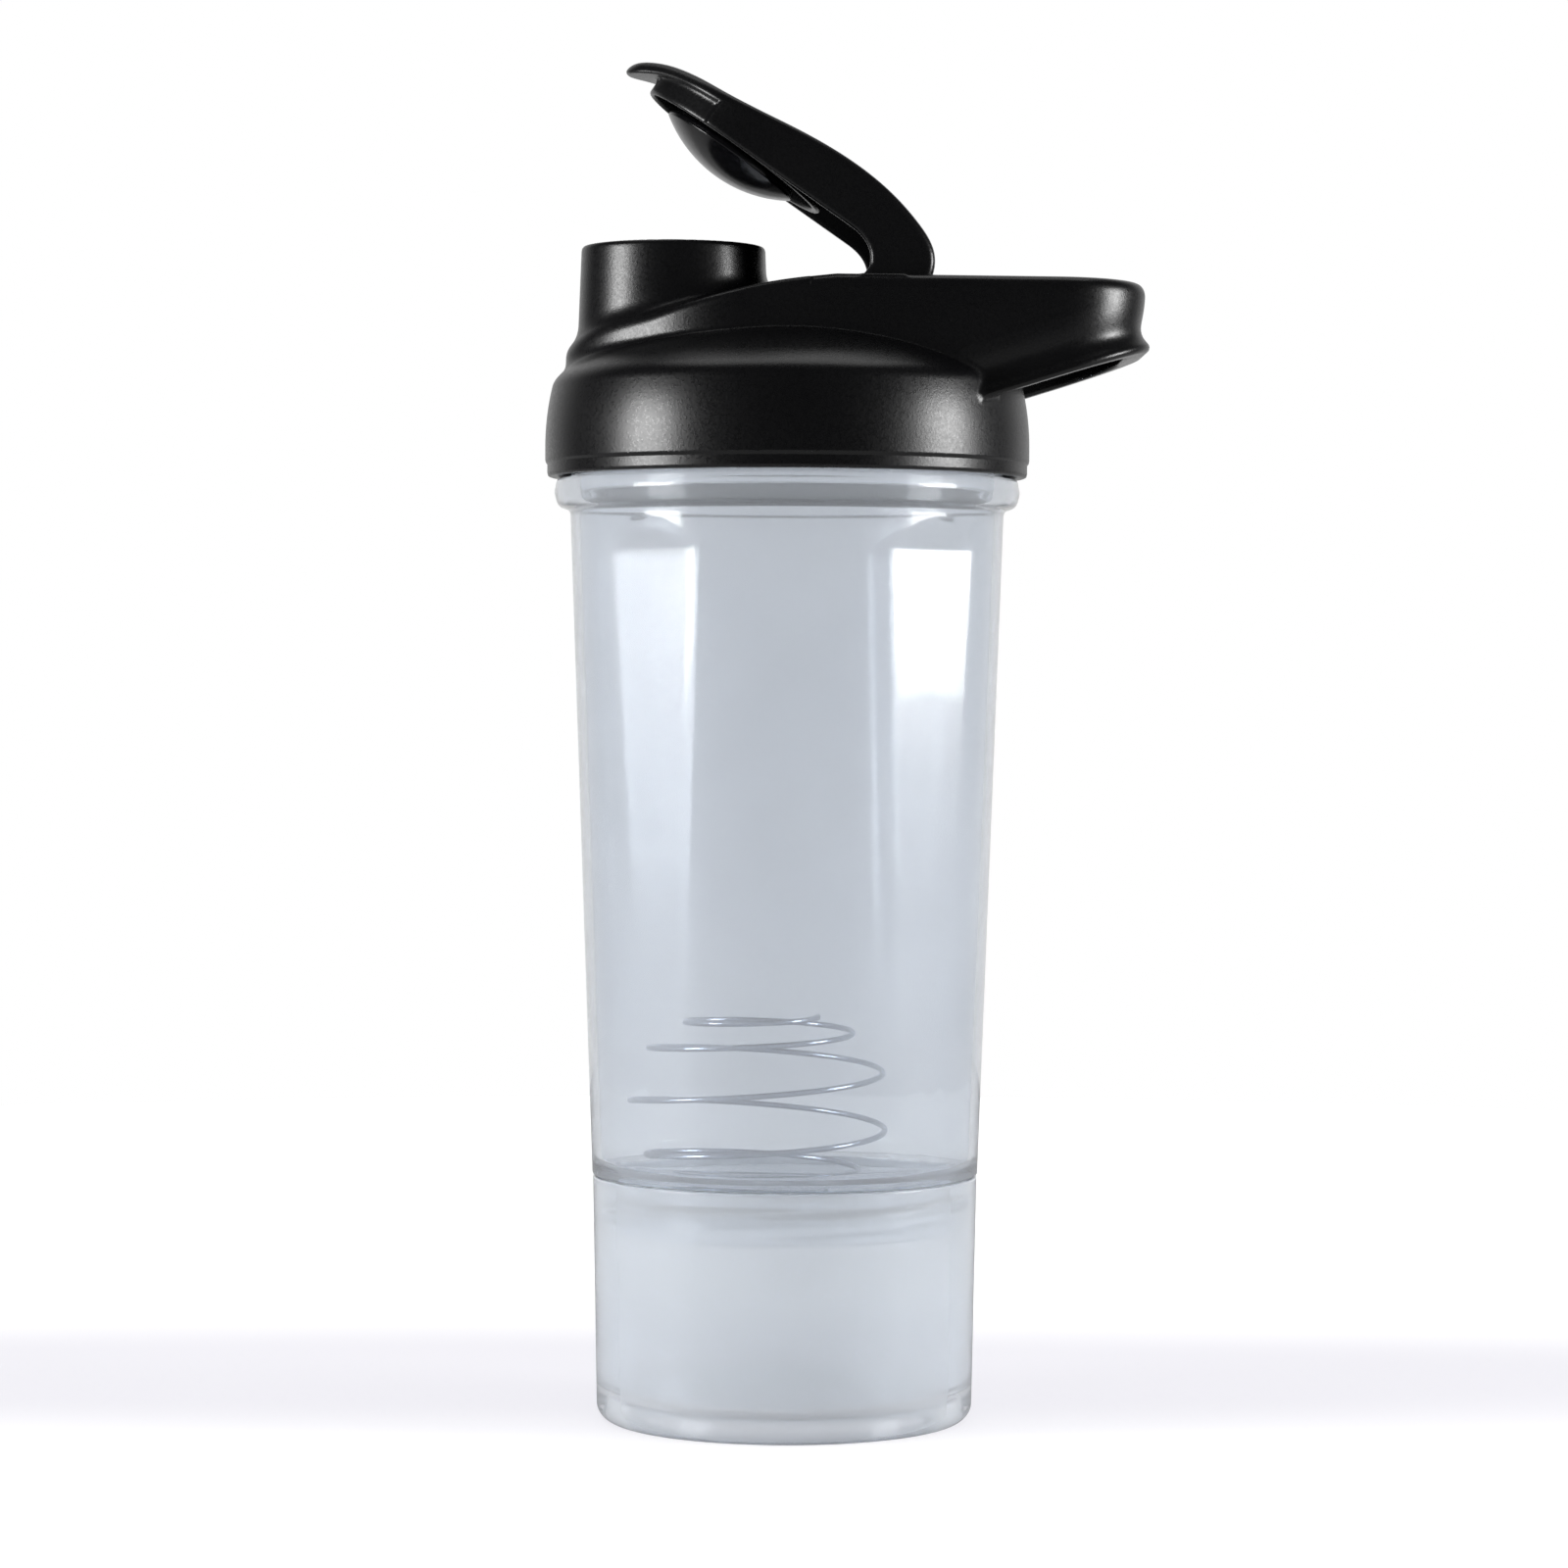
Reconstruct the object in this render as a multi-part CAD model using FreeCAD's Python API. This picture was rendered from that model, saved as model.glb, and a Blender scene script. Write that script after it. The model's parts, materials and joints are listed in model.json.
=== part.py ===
# A protein shaker bottle: a storage cup screwed under a translucent bottle, a screw lid with a
# drinking spout and a carry loop, a flip cap with a soft plug, two sealing rings and a wire
# mixing ball. Millimetres, +Z up. The origin is the centre of the base, on the bottle's axis.
# The spout is towards -X and the carry loop towards +X. The flip cap is drawn part-way open.
import FreeCAD, Part
import math
import os

Vec = FreeCAD.Vector
ORIGIN = Vec(0, 0, 0)
UP = Vec(0, 0, 1)
ACROSS = Vec(0, 1, 0)

# Storage cup
CUP_BASE_R = 35.6
CUP_TOP_R = 36.5
CUP_TOP_Z = 46.6
CUP_FLOOR_Z = 6.0
CUP_FLOOR_T = 1.8
CUP_WALL_T = 1.5
CUP_FOOT_INNER_R = 29.0
CUP_CORNER_R = 3.4
CUP_CAVITY_CORNER_R = 3.0
CUP_BORE_DEPTH = 14.0

# Bottle
SHOULDER_Z = 46.9
BODY_BOTTOM_R = 36.6
BODY_TOP_R = 41.1
BODY_TOP_Z = 172.7
BODY_WALL_T = 1.6
BODY_FLOOR_Z = 43.0
FOOT_NECK_R = 33.4
FOOT_NECK_Z = 36.6
FOOT_SKIRT_T = 1.4
BODY_FLOOR_T = 1.6
BEAD_R = 44.2
BEAD_BOTTOM_Z = 173.4
BEAD_TOP_Z = 178.6
NECK_R = 41.0
RIM_Z = 195.0

# Four shallow grip flats that fade out towards the base
PANEL_ANGLES = (-46.0, -130.0, 50.0, 134.0)
PANEL_TOP_Z = 165.6
PANEL_TOP_D = 39.4
PANEL_SLOPE = 0.0245
PANEL_RAMP = 6.0
PANEL_RAMP_RISE = 2.1

# Screw threads: two starts, right-handed
THREAD_LEAD = 8.0
THREAD_STARTS = 2
THREAD_BASE = 2.2
THREAD_CREST = 1.0
THREAD_BITE = 0.4
THREAD_GAP = 0.5
NECK_THREAD_Z = 187.9
NECK_THREAD_TURNS = 0.8
LID_THREAD_Z = 187.7
LID_THREAD_TURNS = 0.55
FOOT_THREAD_Z = 41.0
FOOT_THREAD_TURNS = 0.55
CUP_THREAD_Z = 41.4
CUP_THREAD_TURNS = 0.42

# Sealing rings
GASKET_ROUND = 0.4
CUP_GASKET_Z = 45.0
GASKET_GAP = 0.05

# Lid
SKIRT_Z = 179.0
PARTING_Z = 181.8
SKIRT_R = 45.5
COLLAR_R = 45.9
COLLAR_TOP_Z = 192.8
SHOULDER_R = 44.3
SHOULDER_TOP_Z = 197.5
DOME_EDGE_R = 42.6
DOME_SPHERE_R = 90.0
DOME_TOP_Z = 209.9
DOME_T = 2.0
LID_BORE_R = 43.1
SEAT_Z = 196.8
SEAL_LIP_OUTER_R = 39.1
SEAL_LIP_INNER_R = 37.8
SEAL_LIP_Z = 192.4

# Deck around the spout, side walls and carry loop
WALL_HALF = 27.0
WALL_T = 3.8
WALL_TOP_Z = 215.7
LOOP_END_X = 67.0
LOOP_CORNER_R = 17.0
LOOP_TIP_X = 35.4
LOOP_TIP_Z = 192.3
LOOP_SLOPE = 0.31
FLANGE_OUT = 0.8
FLANGE_T = 1.5
WAIST_IN = 0.8
WAIST_H = 9.5
DECK_BACK_X = 4.5
RIDGE = ((-43.0, 202.4), (-32.3, 206.2), (-23.0, 209.2), (-12.5, 212.1), (-3.0, 214.2), (9.0, WALL_TOP_Z))
DECK_PLAN = ((-8.0, WALL_HALF), (-19.0, 24.0), (-30.0, 17.0), (-38.9, 8.5), (-41.8, 0.0))

# Spout
SPOUT_X = -21.7
SPOUT_TOP_Z = 222.7
SPOUT_TOP_R = 17.4
SPOUT_BASE_R = 18.2
SPOUT_BASE_Z = 202.0
SPOUT_BORE_R = 15.9
SPOUT_RIM_ROUND = 0.6

# Cap hinge
HINGE_X = 17.6
HINGE_Z = 212.3
PIN_R = 2.5
PIN_CLEARANCE = 0.06
PIN_END_Y = 25.0
BOSS_R = 5.2
BOSS_FACE_Y = 20.6
KNUCKLE_R = 5.2
POCKET_R = 5.7
POCKET_SHELL_R = 7.2
REST_Z = 206.0
REST_LENGTH = 15.0

# Flip cap, described closed and then opened by CAP_OPEN_DEG about the hinge
CAP_OPEN_DEG = 35.0
CAP_HALF = 20.0
CAP_SKIRT_Z = 219.2
CAP_SKIRT_R = 19.9
CAP_SKIRT_BORE_R = 18.3
CAP_TOP_T = 1.5
CAP_SIDE_T = 1.8
CAP_CEILING_Z = 224.8
CAP_BACK = ((-47.0, 222.2), (-42.0, 224.6), (-28.0, 226.3), (-13.4, 228.3), (-3.0, 229.3),
            (7.0, 228.9), (15.5, 227.0), (21.3, 223.9), (23.3, 220.0), (23.4, 216.0))
CAP_LEG_FRONT_X = 13.3
THROAT_R = 5.5
TAB_R = 8.5
TAB_T = 2.4
PLUG_BOSS_R = 11.6
PLUG_BOSS_Z = 219.5

# Plug
PLUG_LIP_R = 14.1
PLUG_BODY_R = 13.3
PLUG_LIP_Z = 218.2
PLUG_LIP_T = 1.0
PLUG_DEPTH = 4.3
PLUG_TOP_Z = 222.8

# Mixing ball: a spring of wire, wound as a squashed sphere
BALL_X = -4.9
BALL_R = 24.6
BALL_HALF_H = 17.8
BALL_TURNS = 5.0
BALL_END_ANGLE = 24.0
WIRE_R = 0.55
BALL_STEPS_PER_TURN = 16


def rounded_wire(corners):
    """A closed wire in the XY plane through corners given as (x, y, corner radius)."""
    spans = []
    for i, (x, y, radius) in enumerate(corners):
        here = Vec(x, y, 0)
        before = Vec(corners[i - 1][0], corners[i - 1][1], 0)
        following = corners[(i + 1) % len(corners)]
        to_before = (before - here).normalize()
        to_after = (Vec(following[0], following[1], 0) - here).normalize()
        if radius == 0:
            spans.append((here, None, here))
            continue
        half = to_before.getAngle(to_after) / 2
        inward = (to_before + to_after).normalize()
        trim = radius / math.tan(half)
        middle = here + inward * (radius / math.sin(half) - radius)
        spans.append((here + to_before * trim, middle, here + to_after * trim))
    edges = []
    for i, (start, middle, end) in enumerate(spans):
        if middle is not None:
            edges.append(Part.Arc(start, middle, end).toShape())
        next_start = spans[(i + 1) % len(spans)][0]
        if end.distanceToPoint(next_start) > 1e-6:
            edges.append(Part.LineSegment(end, next_start).toShape())
    return Part.Wire(edges)


def upright(shape):
    """Turn a shape drawn in the XY plane so that it stands in the XZ plane."""
    turned = shape.copy()
    turned.rotate(ORIGIN, Vec(1, 0, 0), 90)
    return turned


def turned_solid(corners):
    """A solid of revolution about the Z axis from a profile of (radius, z, corner radius)."""
    return Part.Face(upright(rounded_wire(corners))).revolve(ORIGIN, UP, 360)


def side_prism(wire, half_width):
    """A prism across Y, from -half_width to +half_width, of a wire drawn in X and Z."""
    face = Part.Face(upright(wire))
    face.translate(Vec(0, -half_width, 0))
    return face.extrude(Vec(0, 2 * half_width, 0))


def plan_prism(wire, low, high):
    """A prism along Z between two heights of a wire drawn in plan."""
    face = Part.Face(wire)
    face.translate(Vec(0, 0, low))
    return face.extrude(Vec(0, 0, high - low))


def cross_cylinder(radius, x, z, y_from, y_to):
    """A cylinder along Y."""
    return Part.makeCylinder(radius, y_to - y_from, Vec(x, y_from, z), ACROSS)


def thread_ridges(wall_r, crest_r, centre_z, turns, half_pitch=False):
    """The helical ridges of one thread, rooted in a wall and reaching to the crest radius."""
    outward = 1 if crest_r > wall_r else -1
    root_r = wall_r - outward * THREAD_BITE
    height = THREAD_LEAD * turns
    ridges = []
    for start in range(THREAD_STARTS):
        helix = Part.makeHelix(THREAD_LEAD, height, wall_r)
        corners = [Vec(root_r, 0, -THREAD_BASE / 2), Vec(crest_r, 0, -THREAD_CREST / 2),
                   Vec(crest_r, 0, THREAD_CREST / 2), Vec(root_r, 0, THREAD_BASE / 2)]
        section = Part.makePolygon(corners + corners[:1])
        ridge = Part.Wire(helix.Edges).makePipeShell([section], True, True)
        quarter_turn = 360 / THREAD_STARTS / 2 if half_pitch else 0
        # a helix that starts at angle a and height h lies on the surface z = h + lead * (angle - a)
        ridge.rotate(ORIGIN, UP, start * 360 / THREAD_STARTS + quarter_turn - 180 * turns)
        ridge.translate(Vec(0, 0, centre_z - height / 2))
        ridges.append(ridge)
    return ridges


def panel_tool(angle, inset):
    """The block that a grip flat removes, moved towards the axis by inset."""
    low_z = SHOULDER_Z - 2
    low_d = PANEL_TOP_D - PANEL_SLOPE * (PANEL_TOP_Z - low_z) - inset
    top_d = PANEL_TOP_D - inset
    ramp_z = PANEL_TOP_Z + PANEL_RAMP
    far = 60
    corners = [(low_d, low_z, 0), (far, low_z, 0), (far, ramp_z, 0),
               (top_d + PANEL_RAMP_RISE, ramp_z, 0), (top_d, PANEL_TOP_Z, 0)]
    tool = side_prism(rounded_wire(corners), 30)
    tool.rotate(ORIGIN, UP, angle)
    return tool


def make_storage_cup():
    outer = turned_solid([(0, CUP_FLOOR_Z - CUP_FLOOR_T, 0),
                          (CUP_FOOT_INNER_R, CUP_FLOOR_Z - CUP_FLOOR_T, 1.2),
                          (CUP_FOOT_INNER_R + 1, 0, 0.8),
                          (CUP_BASE_R, 0, CUP_CORNER_R),
                          (CUP_TOP_R, CUP_TOP_Z, 0.3),
                          (0, CUP_TOP_Z, 0)])
    bore = CUP_TOP_R - CUP_WALL_T
    cavity = turned_solid([(0, CUP_FLOOR_Z, 0),
                           (CUP_BASE_R - CUP_WALL_T, CUP_FLOOR_Z, CUP_CAVITY_CORNER_R),
                           (bore, CUP_TOP_Z - CUP_BORE_DEPTH, 0), (bore, CUP_TOP_Z + 5, 0),
                           (0, CUP_TOP_Z + 5, 0)])
    ridges = thread_ridges(bore, FOOT_NECK_R + THREAD_GAP - 0.1, CUP_THREAD_Z, CUP_THREAD_TURNS, True)
    return outer.cut(cavity).fuse(ridges)


def ring(inner, outer, low, high):
    """A flat sealing ring with rounded edges."""
    return turned_solid([(inner, low, GASKET_ROUND), (outer, low, GASKET_ROUND),
                         (outer, high, GASKET_ROUND), (inner, high, GASKET_ROUND)])


def make_cup_gasket():
    return ring(FOOT_NECK_R + GASKET_GAP, CUP_TOP_R - CUP_WALL_T - GASKET_GAP,
                CUP_GASKET_Z, SHOULDER_Z - GASKET_GAP)


def make_bottle_body():
    outer = turned_solid([(0, FOOT_NECK_Z, 0), (FOOT_NECK_R, FOOT_NECK_Z, 0.3),
                          (FOOT_NECK_R, SHOULDER_Z, 0), (BODY_BOTTOM_R, SHOULDER_Z, 0.3),
                          (BODY_TOP_R, BODY_TOP_Z, 0.6), (BEAD_R - 0.6, BEAD_BOTTOM_Z, 2.2),
                          (BEAD_R, (BEAD_BOTTOM_Z + BEAD_TOP_Z) / 2, 1.5),
                          (BEAD_R - 0.5, BEAD_TOP_Z, 0.8), (NECK_R, BEAD_TOP_Z + 0.2, 0.5),
                          (NECK_R, RIM_Z, 0.6), (0, RIM_Z, 0)])
    neck_bore = NECK_R - BODY_WALL_T
    foot_bore = FOOT_NECK_R - BODY_WALL_T
    cavity = turned_solid([(0, BODY_FLOOR_Z, 0),
                           (foot_bore, BODY_FLOOR_Z, 2.0), (foot_bore, SHOULDER_Z + 0.6, 1.2),
                           (BODY_BOTTOM_R - BODY_WALL_T, SHOULDER_Z + 2.6, 2.0),
                           (BODY_TOP_R - BODY_WALL_T, BODY_TOP_Z, 0),
                           (neck_bore, BODY_TOP_Z + 4, 0), (neck_bore, RIM_Z + 5, 0),
                           (0, RIM_Z + 5, 0)])
    recess_r, recess_top = FOOT_NECK_R - FOOT_SKIRT_T, BODY_FLOOR_Z - BODY_FLOOR_T
    foot_recess = turned_solid([(0, FOOT_NECK_Z - 5, 0), (recess_r, FOOT_NECK_Z - 5, 0),
                                (recess_r, recess_top, 1.0), (0, recess_top, 0)])
    outer = outer.cut([panel_tool(angle, 0) for angle in PANEL_ANGLES])
    cavity = cavity.cut([panel_tool(angle, BODY_WALL_T) for angle in PANEL_ANGLES])
    body = outer.cut([cavity, foot_recess])
    upper = thread_ridges(NECK_R, LID_BORE_R - THREAD_GAP, NECK_THREAD_Z, NECK_THREAD_TURNS)
    lower = thread_ridges(FOOT_NECK_R, CUP_TOP_R - CUP_WALL_T - THREAD_GAP, FOOT_THREAD_Z,
                          FOOT_THREAD_TURNS)
    return body.fuse(upper + lower)


def make_lid_gasket():
    return ring(SEAL_LIP_OUTER_R + 2 * GASKET_GAP, LID_BORE_R - 4 * GASKET_GAP,
                RIM_Z + GASKET_GAP, SEAT_Z - GASKET_GAP)


def dome_sphere(radius):
    """A sphere concentric with the dome."""
    return Part.makeSphere(radius, Vec(0, 0, DOME_TOP_Z - DOME_SPHERE_R))


def dome_height(radius, sphere_r):
    """Height of a dome sphere's surface at a distance from the axis."""
    return DOME_TOP_Z - DOME_SPHERE_R + math.sqrt(sphere_r ** 2 - radius ** 2)


def collar_and_dome():
    edge_z = dome_height(DOME_EDGE_R, DOME_SPHERE_R)
    drum = turned_solid([(0, SKIRT_Z, 0), (SKIRT_R, SKIRT_Z, 0.4), (SKIRT_R, PARTING_Z, 0.15),
                         (COLLAR_R, PARTING_Z + 0.3, 0.15), (COLLAR_R, COLLAR_TOP_Z, 2.5),
                         (SHOULDER_R, SHOULDER_TOP_Z, 0.8), (DOME_EDGE_R, edge_z, 0),
                         (0, DOME_TOP_Z + 8, 0)])
    return drum.common(dome_sphere(DOME_SPHERE_R))


def lid_cavity():
    """The inside of the lid: the threaded bore, the seal seat and the space under the dome."""
    bore = turned_solid([(0, SKIRT_Z - 2, 0), (LID_BORE_R, SKIRT_Z - 2, 0), (LID_BORE_R, SEAT_Z, 0),
                         (0, SEAT_Z, 0)])
    under_dome = turned_solid([(0, SEAT_Z - 2, 0), (SEAL_LIP_INNER_R, SEAT_Z - 2, 0),
                               (SEAL_LIP_INNER_R, DOME_TOP_Z, 0), (0, DOME_TOP_Z, 0)])
    return bore.fuse(under_dome.common(dome_sphere(DOME_SPHERE_R - DOME_T)))


def ridge_prism():
    """Everything below the swept ridge line that climbs from the lid's front to the loop."""
    curve = Part.BSplineCurve()
    curve.interpolate([Vec(x, z, 0) for x, z in RIDGE], InitialTangent=Vec(1, 0.3, 0),
                      FinalTangent=Vec(1, 0, 0))
    first, last = RIDGE[0], RIDGE[-1]
    far_x, low_z = LOOP_END_X + 10, 150
    corners = [Vec(last[0], last[1], 0), Vec(far_x, last[1], 0), Vec(far_x, low_z, 0),
               Vec(first[0], low_z, 0), Vec(first[0], first[1], 0)]
    return side_prism(Part.Wire([curve.toShape()] + Part.makePolygon(corners).Edges), 60)


def deck_block():
    """The solid deck round the spout, in plan a rounded nose that widens to the side walls."""
    half = [Vec(x, y, 0) for x, y in DECK_PLAN]
    mirrored = [Vec(p.x, -p.y, 0) for p in reversed(half[:-1])]
    curve = Part.BSplineCurve()
    curve.interpolate(half + mirrored, InitialTangent=Vec(-1, 0, 0), FinalTangent=Vec(1, 0, 0))
    start_x = DECK_PLAN[0][0]
    corners = [Vec(start_x, -WALL_HALF, 0), Vec(DECK_BACK_X, -WALL_HALF, 0),
               Vec(DECK_BACK_X, WALL_HALF, 0), Vec(start_x, WALL_HALF, 0)]
    wire = Part.Wire([curve.toShape()] + Part.makePolygon(corners).Edges)
    return plan_prism(wire, SEAT_Z, WALL_TOP_Z + 5)


def loop_section():
    """The wall's section as (distance outwards from the inner face, height above the flange)."""
    flange = WALL_T + FLANGE_OUT
    start, end = Vec(flange - 0.4, FLANGE_T, 0), Vec(WALL_T, WAIST_H, 0)
    waist = Vec(WALL_T - WAIST_IN, FLANGE_T + 0.4 * (WAIST_H - FLANGE_T), 0)
    rest = [Vec(WALL_T, WAIST_H, 0), Vec(WALL_T, 34, 0), Vec(0, 34, 0), Vec(0, 0, 0),
            Vec(flange - 0.3, 0, 0), Vec(flange, 0.4, 0), Vec(flange, FLANGE_T - 0.4, 0),
            Vec(flange - 0.4, FLANGE_T, 0)]
    return Part.Wire([Part.Arc(start, waist, end).toShape()] + Part.makePolygon(rest).Edges)


def carry_loop():
    """Two side walls joined by a rounded end, on a flange that climbs towards the end."""
    corner_x = LOOP_END_X - LOOP_CORNER_R
    corner_y = WALL_HALF - LOOP_CORNER_R
    inner_r = LOOP_CORNER_R - WALL_T
    face = Part.Face(upright(loop_section()))
    # the rounded end is made level and then sheared to the flange's slope
    end_wall = face.copy()
    end_wall.translate(Vec(corner_x + inner_r, -corner_y, 0))
    end_wall = end_wall.extrude(Vec(0, 2 * corner_y, 0))
    pieces = [end_wall]
    for side in (1, -1):
        corner = face.copy()
        corner.translate(Vec(inner_r, 0, 0))
        corner = corner.revolve(ORIGIN, UP, 90 * side)
        corner.translate(Vec(corner_x, side * corner_y, 0))
        pieces.append(corner)
    end = pieces[0].fuse(pieces[1:]).removeSplitter()
    shear = FreeCAD.Matrix()
    shear.A31 = LOOP_SLOPE
    shear.A34 = LOOP_TIP_Z - LOOP_SLOPE * LOOP_TIP_X
    end = end.transformGeometry(shear)
    legs = []
    for side in (1, -1):
        leg = face.copy()
        leg.rotate(ORIGIN, UP, 90 * side)
        flange_z = LOOP_TIP_Z + LOOP_SLOPE * (corner_x - LOOP_TIP_X)
        leg.translate(Vec(corner_x, side * (WALL_HALF - WALL_T), flange_z))
        run = corner_x - DECK_PLAN[0][0]
        legs.append(leg.extrude(Vec(-run, 0, -run * LOOP_SLOPE)))
    return end.fuse(legs)


def spout_column():
    """The solid outside of the spout, slightly wider at its foot."""
    column = turned_solid([(0, SPOUT_BASE_Z - 6, 0), (SPOUT_BASE_R, SPOUT_BASE_Z - 6, 0),
                           (SPOUT_BASE_R, SPOUT_BASE_Z, 0), (SPOUT_TOP_R, SPOUT_TOP_Z, SPOUT_RIM_ROUND),
                           (0, SPOUT_TOP_Z, 0)])
    column.translate(Vec(SPOUT_X, 0, 0))
    return column


def make_lid_shell():
    upper = deck_block().fuse(carry_loop()).common(ridge_prism())
    lid = collar_and_dome().fuse([upper, spout_column()])
    cavity = lid_cavity()
    lid = lid.cut(cavity)
    # a trough under the hinge gives the knuckle room, on a shell of its own inside the dome
    shell = cross_cylinder(POCKET_SHELL_R, HINGE_X, HINGE_Z, -24, 24)
    below = Part.makeBox(40, 60, 20, Vec(HINGE_X - 20, -30, DOME_TOP_Z - 20))
    lid = lid.fuse(shell.common(below).common(dome_sphere(DOME_SPHERE_R - 0.5)))
    bosses, holes = [], []
    for side in (1, -1):
        low, high = sorted((side * BOSS_FACE_Y, side * (WALL_HALF - 1)))
        bosses.append(cross_cylinder(BOSS_R, HINGE_X, HINGE_Z, low, high))
        low, high = sorted((side * (BOSS_FACE_Y - 2), side * (PIN_END_Y + 0.3)))
        holes.append(cross_cylinder(PIN_R + PIN_CLEARANCE, HINGE_X, HINGE_Z, low, high))
    bosses = [boss.common(ridge_prism()) for boss in bosses]
    trough = cross_cylinder(POCKET_R, HINGE_X, HINGE_Z, -BOSS_FACE_Y, BOSS_FACE_Y)
    mouth = Part.makeBox(2 * POCKET_R, 2 * BOSS_FACE_Y, 12,
                         Vec(HINGE_X - POCKET_R, -BOSS_FACE_Y, HINGE_Z))
    # a flat behind the trough, where the cap's arm comes down when it is wide open
    rest = Part.makeBox(REST_LENGTH, 2 * BOSS_FACE_Y, 20, Vec(HINGE_X, -BOSS_FACE_Y, REST_Z))
    lid = lid.fuse(bosses).cut([trough, mouth, rest] + holes)
    bore = Part.makeCylinder(SPOUT_BORE_R, 60, Vec(SPOUT_X, 0, SEAT_Z - 10))
    lid = lid.cut(bore)
    lip = turned_solid([(SEAL_LIP_INNER_R, SEAL_LIP_Z, 0.4), (SEAL_LIP_OUTER_R, SEAL_LIP_Z, 0.4),
                        (SEAL_LIP_OUTER_R, SEAT_Z + 0.6, 0), (SEAL_LIP_INNER_R, SEAT_Z + 0.6, 0)])
    ridges = thread_ridges(LID_BORE_R, NECK_R + THREAD_GAP, LID_THREAD_Z, LID_THREAD_TURNS, True)
    return lid.fuse([lip] + ridges)


def cap_plan(half):
    """The cap's outline in plan: straight sides, a round head and a thumb tab."""
    tab_x = CAP_BACK[0][0] + TAB_R
    tilt = math.asin((half - TAB_R) / (SPOUT_X - tab_x))
    back_x = CAP_BACK[-1][0] + 10

    def around(x, radius, angle):
        return Vec(x - radius * math.sin(angle), radius * math.cos(angle), 0)

    side_start, head_join = around(SPOUT_X, half, 0), around(SPOUT_X, half, tilt)
    tab_join = around(tab_x, TAB_R, tilt)
    upper = [Part.LineSegment(Vec(back_x, half, 0), side_start).toShape(),
             Part.Arc(side_start, around(SPOUT_X, half, tilt / 2), head_join).toShape(),
             Part.LineSegment(head_join, tab_join).toShape()]
    lower = [edge.mirror(ORIGIN, ACROSS) for edge in upper]
    tip = Vec(tab_x - TAB_R, 0, 0)
    nose = Part.Arc(tab_join, tip, Vec(tab_join.x, -tab_join.y, 0)).toShape()
    back = Part.LineSegment(Vec(back_x, -half, 0), Vec(back_x, half, 0)).toShape()
    return Part.Wire(Part.sortEdges(upper + lower + [nose, back])[0])


def cap_back_curve(drop):
    """The curved back of the cap, lowered towards its inside by drop."""
    points = []
    for i, (x, z) in enumerate(CAP_BACK):
        before = CAP_BACK[max(i - 1, 0)]
        after = CAP_BACK[min(i + 1, len(CAP_BACK) - 1)]
        along = Vec(after[0] - before[0], after[1] - before[1], 0).normalize()
        points.append(Vec(x + along.y * drop, z - along.x * drop, 0))
    curve = Part.BSplineCurve()
    curve.interpolate(points)
    return curve, points


def cap_side_wire():
    """The side outline of the cap: curved back, leg, hooked throat and level underside."""
    curve, points = cap_back_curve(0)
    first, last = points[0], points[-1]
    foot_z = HINGE_Z - 1
    throat = [Vec(CAP_LEG_FRONT_X, CAP_SKIRT_Z - THROAT_R, 0),
              Vec(CAP_LEG_FRONT_X - 0.3 * THROAT_R, CAP_SKIRT_Z - 0.3 * THROAT_R, 0),
              Vec(CAP_LEG_FRONT_X - THROAT_R, CAP_SKIRT_Z, 0)]
    outline = [last, Vec(HINGE_X + KNUCKLE_R, foot_z, 0), Vec(CAP_LEG_FRONT_X, foot_z, 0), throat[0]]
    underside = [throat[2], Vec(first.x, CAP_SKIRT_Z, 0), first]
    return Part.Wire([curve.toShape()] + Part.makePolygon(outline).Edges
                     + [Part.Arc(*throat).toShape()] + Part.makePolygon(underside).Edges)


def under_back(drop):
    """A prism of everything that lies below the cap's back, lowered by drop."""
    curve, points = cap_back_curve(drop)
    first, last = points[0], points[-1]
    low_z = HINGE_Z - 20
    around = [last, Vec(last.x, low_z, 0), Vec(first.x - 10, low_z, 0),
              Vec(first.x - 10, first.y, 0), first]
    return side_prism(Part.Wire([curve.toShape()] + Part.makePolygon(around).Edges), 40)


def spout_drum(radius, low_z, high_z):
    """A cylinder about the spout's axis."""
    return Part.makeCylinder(radius, high_z - low_z, Vec(SPOUT_X, 0, low_z))


def cap_closed():
    """The flip cap in its closed position."""
    low_z, high_z = HINGE_Z - 20, HINGE_Z + 25
    shell = plan_prism(cap_plan(CAP_HALF), low_z, high_z).common(side_prism(cap_side_wire(), 40))
    skirt = spout_drum(CAP_SKIRT_R, low_z, high_z)
    # ahead of the skirt only a thin plate is left, as the rim and the thumb tab
    front = Part.makeBox(60, 80, 60, Vec(SPOUT_X - 60, -40, low_z))
    shell = shell.cut(under_back(TAB_T).common(front).cut(skirt))
    # hollow underside: round the spout, and along the arm down to the hinge
    hollow = under_back(CAP_TOP_T)
    head_room = spout_drum(CAP_SKIRT_BORE_R, low_z, CAP_CEILING_Z).common(hollow)
    rear = Part.makeBox(60, 80, 60, Vec(SPOUT_X, -40, low_z))
    arm_room = hollow.common(plan_prism(cap_plan(CAP_HALF - CAP_SIDE_T), low_z, high_z))
    arm_room = arm_room.common(rear).cut(skirt)
    shell = shell.cut([head_room, arm_room])
    boss = spout_drum(PLUG_BOSS_R, PLUG_BOSS_Z, CAP_CEILING_Z + 0.6)
    knuckle = cross_cylinder(KNUCKLE_R, HINGE_X, HINGE_Z, -CAP_HALF, CAP_HALF)
    pins = cross_cylinder(PIN_R, HINGE_X, HINGE_Z, -PIN_END_Y, PIN_END_Y)
    return shell.fuse([boss, knuckle, pins])


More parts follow.
